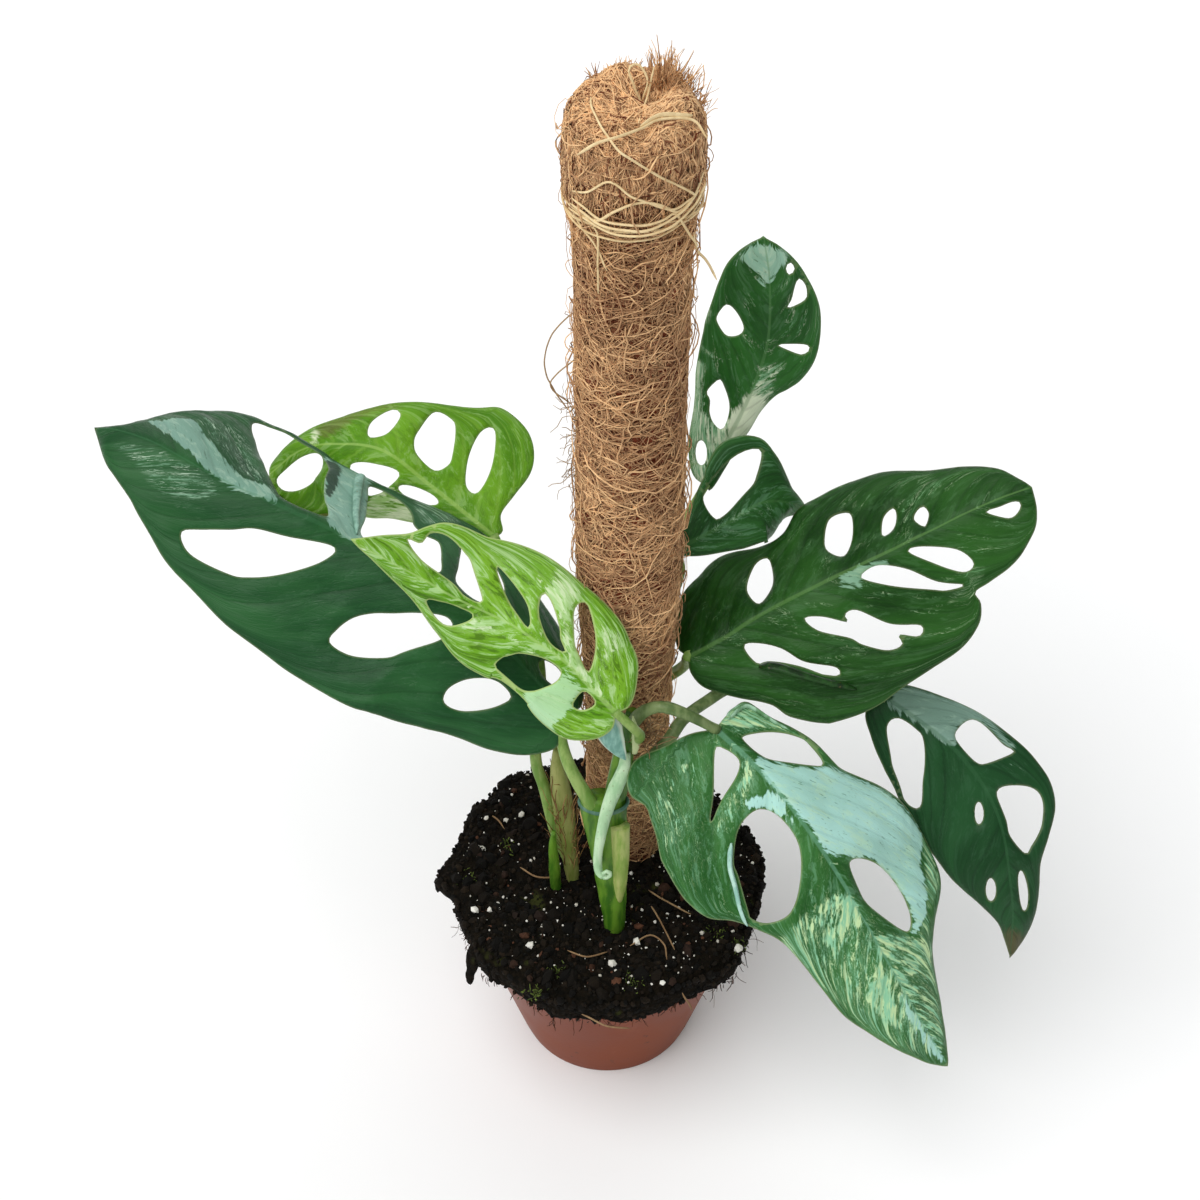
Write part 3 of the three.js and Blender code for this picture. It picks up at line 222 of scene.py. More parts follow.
# Leaf stalks: route from the stem to the rib's end and the radius at both ends
PETIOLES = {
    "left_large": ([(-5, -18.5, 155), (-8, -19, 163), (-12, -18, 172), (-16, -15, 182), (-18, -10, 191),
                    (-16.5, -6.5, 197.5)], 3, 1.8),
    "left_back": ([(-16, -2, 104), (-21, -2, 122), (-25, -2, 148), (-28, -2, 164), (-28, 6, 180),
                   (-26, 17, 193), (-30, 38, 203), (-38, 60, 205), (-45.5, 75.5, 212.3)], 2.6, 1.6),
    "left_front": ([(9, -11, 189), (11.5, -15.5, 193), (12, -21, 202), (9, -26, 212),
                    (2.5, -24.7, 219.4)], 2.2, 1.6),
    "right_top": ([(23, 45, 228), (27, 52, 234), (32, 61, 239), (38.3, 69.4, 246.6)], 2.2, 1.5),
    "right_back": ([(22, 43, 206), (26, 41, 216), (28, 38, 230), (26.5, 36.2, 244.3)], 2.2, 1.5),
    "right_large": ([(19, 43, 160), (27, 38, 172), (31, 30, 186), (31, 21, 199), (31.5, 15.2, 206.5)],
                    2.6, 2),
    "front": ([(9, -12, 198), (14, -14.5, 208), (21, -16, 212), (31, -17, 208), (41.5, -14.3, 197)],
              2.8, 1.8),
    "right_low": ([(7, -13, 172), (15, -12, 176), (23, -9, 184), (29, -3, 190), (38, 6, 190),
                   (50, 13, 192), (71, 20, 189), (96, 21, 184), (109.5, 14.7, 183)], 2.6, 1.8),
}


# Curves and meshes


class Curve:
    """A smooth curve through the points, read by its arc length."""

    def __init__(self, points, steps=40):
        p = np.array(points, float)
        q = np.vstack([2 * p[0] - p[1], p, 2 * p[-1] - p[-2]])
        t = np.linspace(0, 1, steps, endpoint=False)[:, None]
        spans = [self.span(q[i - 1:i + 3], t) for i in range(1, len(q) - 2)]
        self.points = np.vstack([*spans, p[-1:]])
        lengths = np.linalg.norm(np.diff(self.points, axis=0), axis=1)
        self.run = np.concatenate([[0], np.cumsum(lengths)])
        self.length = self.run[-1]

    @staticmethod
    def span(q, t):
        a, b, c, d = q
        return 0.5 * (2 * b + (c - a) * t + (2 * a - 5 * b + 4 * c - d) * t ** 2
                      + (3 * b - a - 3 * c + d) * t ** 3)

    def at(self, s):
        return np.stack([np.interp(s, self.run, axis) for axis in self.points.T], -1)

    def ahead(self, s, reach=0.5):
        step = self.at(np.minimum(s + reach, self.length)) - self.at(np.maximum(s - reach, 0))
        return unit(step)

    def spaced(self, step):
        return self.at(np.linspace(0, self.length, max(2, round(self.length / step)) + 1))


def unit(v):
    return v / np.maximum(np.linalg.norm(v, axis=-1, keepdims=True), 1e-12)


def around(count):
    """Evenly spaced angles round a circle."""
    return np.linspace(0, 2 * math.pi, count, endpoint=False)


def polar(radius, angle, z, centre=(0, 0)):
    """Points at a radius and an angle round an upright axis."""
    x, y = centre[0] + radius * np.cos(angle), centre[1] + radius * np.sin(angle)
    return np.stack(np.broadcast_arrays(x, y, z), -1)


def make(name, points, faces, material, values=None, uv=None, smooth=True):
    """A mesh object in metres, with a named number at each point and a UV place at each point."""
    mesh = bpy.data.meshes.new(name)
    mesh.from_pydata((np.asarray(points, float) * MM).tolist(), [], [list(map(int, f)) for f in faces])
    for key, numbers in (values or {}).items():
        mesh.attributes.new(key, "FLOAT", "POINT").data.foreach_set("value", np.asarray(numbers, np.float32))
    if uv is not None:
        corners = np.empty(len(mesh.loops), np.int32)
        mesh.loops.foreach_get("vertex_index", corners)
        layer = mesh.uv_layers.new(name="place")
        layer.data.foreach_set("uv", np.asarray(uv, np.float32)[corners].ravel())
    mesh.polygons.foreach_set("use_smooth", [smooth] * len(mesh.polygons))
    mesh.materials.append(material)
    mesh.update()
    piece = bpy.data.objects.new(name, mesh)
    bpy.context.collection.objects.link(piece)
    return piece


def finish_piece(piece, slot, *nodes):
    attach(piece, "root")
    if nodes:
        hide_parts(*nodes)


def add(name, shape, material, slot, *nodes, **settings):
    """Makes and finishes a piece from its (points, faces)."""
    finish_piece(make(name, *shape, material, **settings), slot, *nodes)


def ring_faces(rings, sides, closed=False):
    """Quads between successive rings of points, with the ends left open."""
    faces = []
    for i in range(rings if closed else rings - 1):
        here, after = i * sides, (i + 1) % rings * sides
        for k in range(sides):
            beside = (k + 1) % sides
            faces.append([here + k, here + beside, after + beside, after + k])
    return faces


def capped_rings(rings, sides):
    """Quads between the rings and one face over each end."""
    last = (rings - 1) * sides
    return ring_faces(rings, sides) + [list(range(sides))[::-1], list(range(last, last + sides))]


def fanned_rings(rings, sides):
    """Quads between the rings and a fan over each end, to the two points that come after the rings."""
    foot, last = rings * sides, (rings - 1) * sides
    faces = ring_faces(rings, sides)
    faces += [[foot, (k + 1) % sides, k] for k in range(sides)]
    faces += [[foot + 1, last + k, last + (k + 1) % sides] for k in range(sides)]
    return faces


def tube(centres, wide, deep, side, sides):
    """A closed tube with oval rings; side is the direction its width lies along."""
    centres, side = np.asarray(centres, float), np.asarray(side, float)
    ahead = unit(np.gradient(centres, axis=0))
    across = unit(side - ahead * (ahead @ side)[:, None])
    through = np.cross(ahead, across)
    turn = around(sides)
    wide, deep = np.broadcast_to(wide, len(centres)), np.broadcast_to(deep, len(centres))
    points = (centres[:, None] + across[:, None] * (wide[:, None] * np.cos(turn))[..., None]
              + through[:, None] * (deep[:, None] * np.sin(turn))[..., None])
    return points.reshape(-1, 3), capped_rings(len(centres), sides)


def ribbon(centres, half_width, half_height, axis, sides):
    """A strip wound round an upright axis, as a closed loop of oval rings."""
    out = unit((centres - (*axis, 0)) * (1, 1, 0))
    turn = around(sides)
    points = centres[:, None] + out[:, None] * (half_width * np.cos(turn))[:, None]
    points = points + UP * (half_height * np.sin(turn))[:, None]
    return points.reshape(-1, 3), ring_faces(len(centres), sides, True)


def joined(parts):
    """Several (points, faces) as one."""
    points, faces, first = [], [], 0
    for p, f in parts:
        points.append(np.asarray(p, float))
        faces += [[first + int(k) for k in face] for face in f]
        first += len(p)
    return np.vstack(points), faces


# Soft noise, the same on every run

# Primes that scramble a whole-number place and a seed, and the bits that are kept
AXIS_PRIMES = (374761393, 668265263, 2147483647)
SEED_PRIME, MIX_PRIME = 7919, 1274126177
LOW_32, LOW_16 = 0xFFFFFFFF, 0xFFFF


def value_noise(points, scale, seed):
    """A smooth number from -1 to 1 at each point."""
    p = np.asarray(points, float) / scale + seed * 17.31
    low = np.floor(p).astype(int)
    f = p - low
    f = f * f * (3 - 2 * f)
    total = np.zeros(len(p))
    for corner in np.ndindex(*([2] * p.shape[1])):
        at = low + np.array(corner)
        mixed = np.zeros(len(p), np.int64) + seed * SEED_PRIME
        for k, prime in zip(range(p.shape[1]), AXIS_PRIMES):
            mixed = (mixed + at[:, k] * prime) & LOW_32
        mixed = ((mixed ^ (mixed >> 13)) * MIX_PRIME) & LOW_32
        number = ((mixed ^ (mixed >> 16)) & LOW_16) / (LOW_16 / 2) - 1
        weight = np.prod(np.where(np.array(corner), f, 1 - f), axis=1)
        total += weight * number
    return total


def layered_noise(points, scale, seed, layers=3):
    return sum(value_noise(points, scale / 2 ** k, seed + k) / 2 ** k for k in range(layers))


# Materials


class Shader:
    """A node material whose base colour, roughness and bump are built up in code."""

    def __init__(self, name, roughness=0.5, **constants):
        self.material = bpy.data.materials.new(name)
        self.material.use_nodes = True
        self.tree = self.material.node_tree
        self.surface = self.tree.nodes["Principled BSDF"]
        self.surface.inputs["Roughness"].default_value = roughness
        for socket, value in constants.items():
            self.surface.inputs[socket.replace("_", " ")].default_value = value

    def node(self, kind, inputs=None, **settings):
        made = self.tree.nodes.new("ShaderNode" + kind)
        for key, value in settings.items():
            setattr(made, key, value)
        for key, value in (inputs or {}).items():
            self.put(made.inputs[key], value)
        return made

    def put(self, socket, value):
        if isinstance(value, bpy.types.NodeSocket):
            self.tree.links.new(value, socket)
        else:
            socket.default_value = value

    def value(self, name):
        return self.node("Attribute", attribute_name=name).outputs["Fac"]

    def place(self, scale=(1, 1, 1)):
        uv = self.node("UVMap", uv_map="place").outputs["UV"]
        return self.node("Mapping", {"Vector": uv, "Scale": scale}).outputs["Vector"]

    def solid_place(self, scale=(1, 1, 1)):
        spot = self.node("TexCoord").outputs["Object"]
        return self.node("Mapping", {"Vector": spot, "Scale": scale}).outputs["Vector"]

    def noise(self, vector, scale, detail=4, rough=0.55, distortion=0):
        return self.node("TexNoise", {"Vector": vector, "Scale": scale, "Detail": detail,
                                      "Roughness": rough, "Distortion": distortion}).outputs["Fac"]

    def cells(self, vector, scale, feature="F1"):
        made = self.node("TexVoronoi", {"Vector": vector, "Scale": scale}, feature=feature)
        return made.outputs["Distance"]

    def math(self, operation, a, b=0.0, clamp=False):
        return self.node("Math", {0: a, 1: b}, operation=operation, use_clamp=clamp).outputs[0]

    def smooth(self, value, low, high, to=(0, 1)):
        """Goes smoothly from to[0] to to[1] as the value goes from low to high."""
        return self.node("MapRange", {"Value": value, "From Min": low, "From Max": high, "To Min": to[0],
                                      "To Max": to[1]}, interpolation_type="SMOOTHSTEP").outputs["Result"]

    def mix(self, factor, a, b):
        made = self.node("Mix", data_type="RGBA")
        self.put(made.inputs[0], factor)
        for index, colour in ((6, a), (7, b)):
            self.put(made.inputs[index], rgba(colour) if isinstance(colour, tuple) else colour)
        return made.outputs[2]

    def colour(self, socket):
        self.put(self.surface.inputs["Base Color"], socket)
        return self

    def rough(self, socket):
        self.put(self.surface.inputs["Roughness"], socket)
        return self

    def bump(self, height, strength, distance=0.0005):
        made = self.node("Bump", {"Height": height, "Strength": strength, "Distance": distance})
        self.put(self.surface.inputs["Normal"], made.outputs["Normal"])
        return self


def rgba(colour):
    """A colour given as 0 to 255 sRGB numbers, as linear numbers."""
    parts = [c / 255 for c in colour]
    return (*[c / 12.92 if c <= 0.04045 else ((c + 0.055) / 1.055) ** 2.4 for c in parts], 1.0)


# Colours that all the leaves share: dead patches, the thin pale margin and the paler underside
LEAF_BROWN, LEAF_MARGIN, LEAF_UNDER = (104, 84, 58), (206, 214, 160), (150, 176, 124)
LEAF_ROUGHNESS = 0.36


def leaf_material(name, dark, light, pale, cream, silver_and_sheen, rib, vein, veins=0.2, midrib=0.35, rim=0.25,
                  threads=0.5, mottle=0.3, streak=0.3, grain=0.45, stray=0.7):
    """Two greens, marbling in pale and cream, silver patches that are partly silvery marking and partly
    painted sheen, and the colours of the rib and side veins.
    """
    s = Shader(name, LEAF_ROUGHNESS, Specular_IOR_Level=0.13)
    flat, streaked = s.place(), s.place((1.0, streak, 1.0))
    broad = s.noise(flat, 3.2, 3, 0.5)
    cloudy = s.noise(flat, 15, 6, 0.68, 0.8)
    coarse = s.noise(streaked, 18, 6, 0.65, 0.8)
    fine = s.noise(streaked, 64, 4, 0.64, 0.4)
    ragged = s.math("MULTIPLY", s.math("SUBTRACT", s.noise(streaked, 30, 5, 0.66), 0.5), 11.0)
    deeper = tuple(0.62 * c for c in dark)

    def patch(key, soft=0.5, strength=1.0):
        return s.smooth(s.math("ADD", s.value(key), ragged), -soft, soft, (0, strength))

    shade = s.mix(s.smooth(broad, 0.35, 0.68), dark, light)
    shade = s.mix(s.smooth(fine, 0.45, 0.62, (0, 0.25)), shade, light)
    shade = s.mix(s.smooth(cloudy, 0.48, 0.39, (0, 0.8 * mottle)), shade, deeper)
    shade = s.mix(s.smooth(cloudy, 0.52, 0.61, (0, mottle)), shade, pale)
    # Silver patches: partly the leaf's own silvery marking and partly painted sheen from the bright sky
    # above, with dark flecks along the veins
    sheen = s.mix(s.smooth(broad, 0.35, 0.65, (0.25, 0)), silver_and_sheen, light)
    sheen = s.mix(s.smooth(cloudy, 0.5, 0.62, (0, 0.25)), sheen, cream)
    sheen = s.mix(s.smooth(fine, 0.61, 0.67, (0, 0.55)), sheen, dark)
    silver_sheen_mask = patch("silver_and_sheen")
    shade = s.mix(silver_sheen_mask, shade, sheen)
    amount = s.value("marble")
    field = s.math("ADD", s.math("MULTIPLY", coarse, 1 - grain), s.math("MULTIPLY", fine, grain))
    field = s.math("ADD", field, s.math("MULTIPLY", amount, 0.34))
    marbling = s.mix(s.smooth(s.noise(streaked, 34, 3), 0.42, 0.62), pale, cream)
    shade = s.mix(s.smooth(amount, 0.4, 1, (0, 0.08)), shade, pale)
    shade = s.mix(s.smooth(field, 0.755, 0.81, (0, 0.85)), shade, marbling)

    wander = s.noise(s.place((1, 1.4 * streak, 1)), 24, 4, 0.62, 1.8)
    wander = s.math("ABSOLUTE", s.math("SUBTRACT", wander, 0.5))
    where = s.math("ADD", s.smooth(s.noise(flat, 9, 3), 0.54, 0.64, (0, stray)), s.smooth(amount, 0.3, 0.75))
    thread = s.math("MULTIPLY", s.smooth(wander, 0.02, 0.006), s.math("MULTIPLY", where, threads), True)
    shade = s.mix(thread, shade, marbling)
    shade = s.mix(patch("cream", 1.2, 0.9), shade, cream)
    shade = s.mix(patch("dark", 0.5, 0.9), shade, deeper)
    shade = s.mix(patch("brown", 2.5, 0.5), shade, LEAF_BROWN)

    part = s.math("FRACT", s.math("ADD", s.value("phase"), 0.5))
    share = s.math("ABSOLUTE", s.math("SUBTRACT", part, 0.5))
    apart = s.math("MULTIPLY", share, s.value("spacing"))
    line = s.smooth(apart, 1.0, 0.25)
    faint = s.math("MULTIPLY", line, s.smooth(silver_sheen_mask, 0, 1, (veins, 0.4 * veins)))
    shade = s.mix(faint, shade, vein)
    middle = s.smooth(s.value("rib"), 0.75, 0.3)
    shade = s.mix(s.math("MULTIPLY", middle, midrib), shade, rib)
    edge = s.mix(0.5, light, LEAF_MARGIN)
    shade = s.mix(s.smooth(s.value("rim"), 0.75, 0.3, (0, rim)), shade, edge)
    shade = s.mix(s.math("MULTIPLY", s.value("under"), 0.5), shade, s.mix(0.5, light, LEAF_UNDER))
    net = s.smooth(s.cells(flat, 34, "DISTANCE_TO_EDGE"), 0, 0.12)
    height = s.math("SUBTRACT", s.math("MULTIPLY", net, 0.4), s.math("MULTIPLY", line, 0.6))
    s.rough(s.smooth(s.noise(flat, 9, 3), 0.3, 0.7, (LEAF_ROUGHNESS - 0.06, LEAF_ROUGHNESS + 0.1)))
    return s.colour(shade).bump(height, 0.3, 0.0004).material


def stalk_material(name, green, other, roughness=0.42):
    s = Shader(name, roughness, Specular_IOR_Level=0.25)
    along = s.noise(s.solid_place((1, 1, 0.16)), 260, 4, 0.6)
    spots = s.noise(s.solid_place(), 900, 2, 0.5)
    shade = s.mix(s.smooth(along, 0.35, 0.65), green, other)
    shade = s.mix(s.smooth(spots, 0.66, 0.72, (0, 0.5)), shade, (120, 104, 60))
    return s.colour(shade).bump(along, 0.3, 0.0005).material


def coir_material(name, light, dark):
    s = Shader(name, 0.8, Specular_IOR_Level=0.25)
    tone = s.value("tone")
    grain = s.noise(s.solid_place(), 420, 3)
    shade = s.mix(s.smooth(tone, 0, 1), dark, light)
    shade = s.mix(s.math("MULTIPLY", s.smooth(grain, 0.4, 0.7), 0.3), shade, (96, 48, 24))
    return s.colour(shade).bump(grain, 0.4, 0.0004).material


def soil_material():
    s = Shader("potting_mix", 0.95, Specular_IOR_Level=0.1)
    spot = s.solid_place()
    shade = s.mix(s.smooth(s.noise(spot, 380, 5, 0.65), 0.35, 0.7), (7, 6, 3), (25, 19, 11))
    moss = s.smooth(s.noise(spot, 62, 3), 0.62, 0.72)
    shade = s.mix(s.math("MULTIPLY", moss, 0.4), shade, (72, 78, 34))
    crumbs = s.cells(spot, 520)
    return s.colour(shade).bump(crumbs, 0.9, 0.0012).material


def grain_material(name, light, dark, roughness=0.9, scale=700):
    s = Shader(name, roughness, Specular_IOR_Level=0.2)
    tone = s.value("tone")
    fine = s.noise(s.solid_place(), scale, 3)
    shade = s.mix(tone, dark, light)
    shade = s.mix(s.math("MULTIPLY", s.smooth(fine, 0.4, 0.7), 0.4), shade, dark)
    return s.colour(shade).bump(fine, 0.5, 0.0004).material


def pot_material():
    s = Shader("terracotta_plastic", 0.45, Specular_IOR_Level=0.1)
    spot = s.solid_place()
    cloudy = s.noise(spot, 14, 4)
    shade = s.mix(s.smooth(cloudy, 0.3, 0.7), (114, 50, 24), (128, 62, 34))
    dust = s.smooth(s.noise(s.solid_place((1, 1, 0.3)), 55, 6, 0.7), 0.56, 0.8)
    shade = s.mix(s.math("MULTIPLY", dust, 0.25), shade, (146, 92, 68))
    dirt = s.smooth(s.noise(spot, 240, 3), 0.68, 0.74)
    shade = s.mix(s.math("MULTIPLY", dirt, 0.6), shade, (62, 42, 32))
    s.rough(s.smooth(cloudy, 0.3, 0.7, (0.36, 0.5)))
    return s.colour(shade).bump(s.noise(spot, 600, 2), 0.12, 0.0003).material


# Each leaf's colours: its greens, marbling, silver patches (partly painted sheen), rib and side veins
LEAF_LOOKS = {
    "left_large": dict(dark=(26, 70, 36), light=(44, 94, 50), pale=(132, 178, 146), cream=(200, 226, 200),
                       silver_and_sheen=(128, 168, 150), rib=(64, 116, 76), vein=(14, 44, 18), veins=0.22, midrib=0.3,
                       threads=0.7, mottle=0.03, streak=0.22, stray=0.1),
    "left_back": dict(dark=(72, 126, 16), light=(104, 156, 32), pale=(170, 206, 130), cream=(222, 234, 196),
                      silver_and_sheen=(150, 180, 130), rib=(160, 196, 100), vein=(140, 176, 76), veins=0.2, midrib=0.5,
                      threads=0.3, mottle=0.3, streak=0.6),
    "left_front": dict(dark=(82, 140, 14), light=(122, 176, 44), pale=(176, 214, 146), cream=(214, 234, 190),
                       silver_and_sheen=(178, 220, 172), rib=(172, 208, 124), vein=(160, 202, 110), veins=0.25,
                       midrib=0.45, rim=0.9, threads=0.4, mottle=0.8, streak=1.1, grain=0.25),
    "right_top": dict(dark=(30, 80, 28), light=(46, 106, 40), pale=(128, 178, 136), cream=(222, 236, 206),
                      silver_and_sheen=(160, 204, 180), rib=(92, 140, 84), vein=(16, 46, 16), veins=0.2, midrib=0.4,
                      threads=1, mottle=0.12, streak=0.6),
    "right_back": dict(dark=(28, 72, 28), light=(48, 102, 44), pale=(112, 164, 122), cream=(180, 216, 180),
                       silver_and_sheen=(120, 164, 130), rib=(80, 128, 70), vein=(16, 42, 16), veins=0.2, midrib=0.35,
                       threads=0.8, mottle=0.35, streak=0.6),
    "right_large": dict(dark=(20, 58, 15), light=(44, 92, 33), pale=(112, 164, 112), cream=(188, 218, 170),
                        silver_and_sheen=(136, 180, 150), rib=(104, 150, 78), vein=(14, 44, 12), veins=0.25, midrib=0.4,
                        threads=0.7, mottle=0.1, streak=0.45),
    "front": dict(dark=(34, 84, 33), light=(60, 114, 55), pale=(146, 206, 166), cream=(206, 234, 176),
                  silver_and_sheen=(176, 224, 214), rib=(112, 168, 136), vein=(22, 74, 36), veins=0.22, midrib=0.45,
                  rim=0.4, threads=0.55, mottle=0.2, streak=0.7, grain=0.3),
    "right_low": dict(dark=(20, 58, 28), light=(34, 78, 42), pale=(112, 160, 128), cream=(176, 206, 182),
                      silver_and_sheen=(128, 160, 146), rib=(52, 96, 60), vein=(12, 36, 18), veins=0.3, midrib=0.4,
                      threads=0.15, mottle=0.04, streak=0.3, stray=0.3),
}
LEAF_SLOTS = dict(left_large="leaf_dark", left_back="leaf_lime", left_front="leaf_lime",
                  right_top="leaf_dark", right_back="leaf_dark", right_large="leaf_dark",
                  front="leaf_marbled", right_low="leaf_blue")

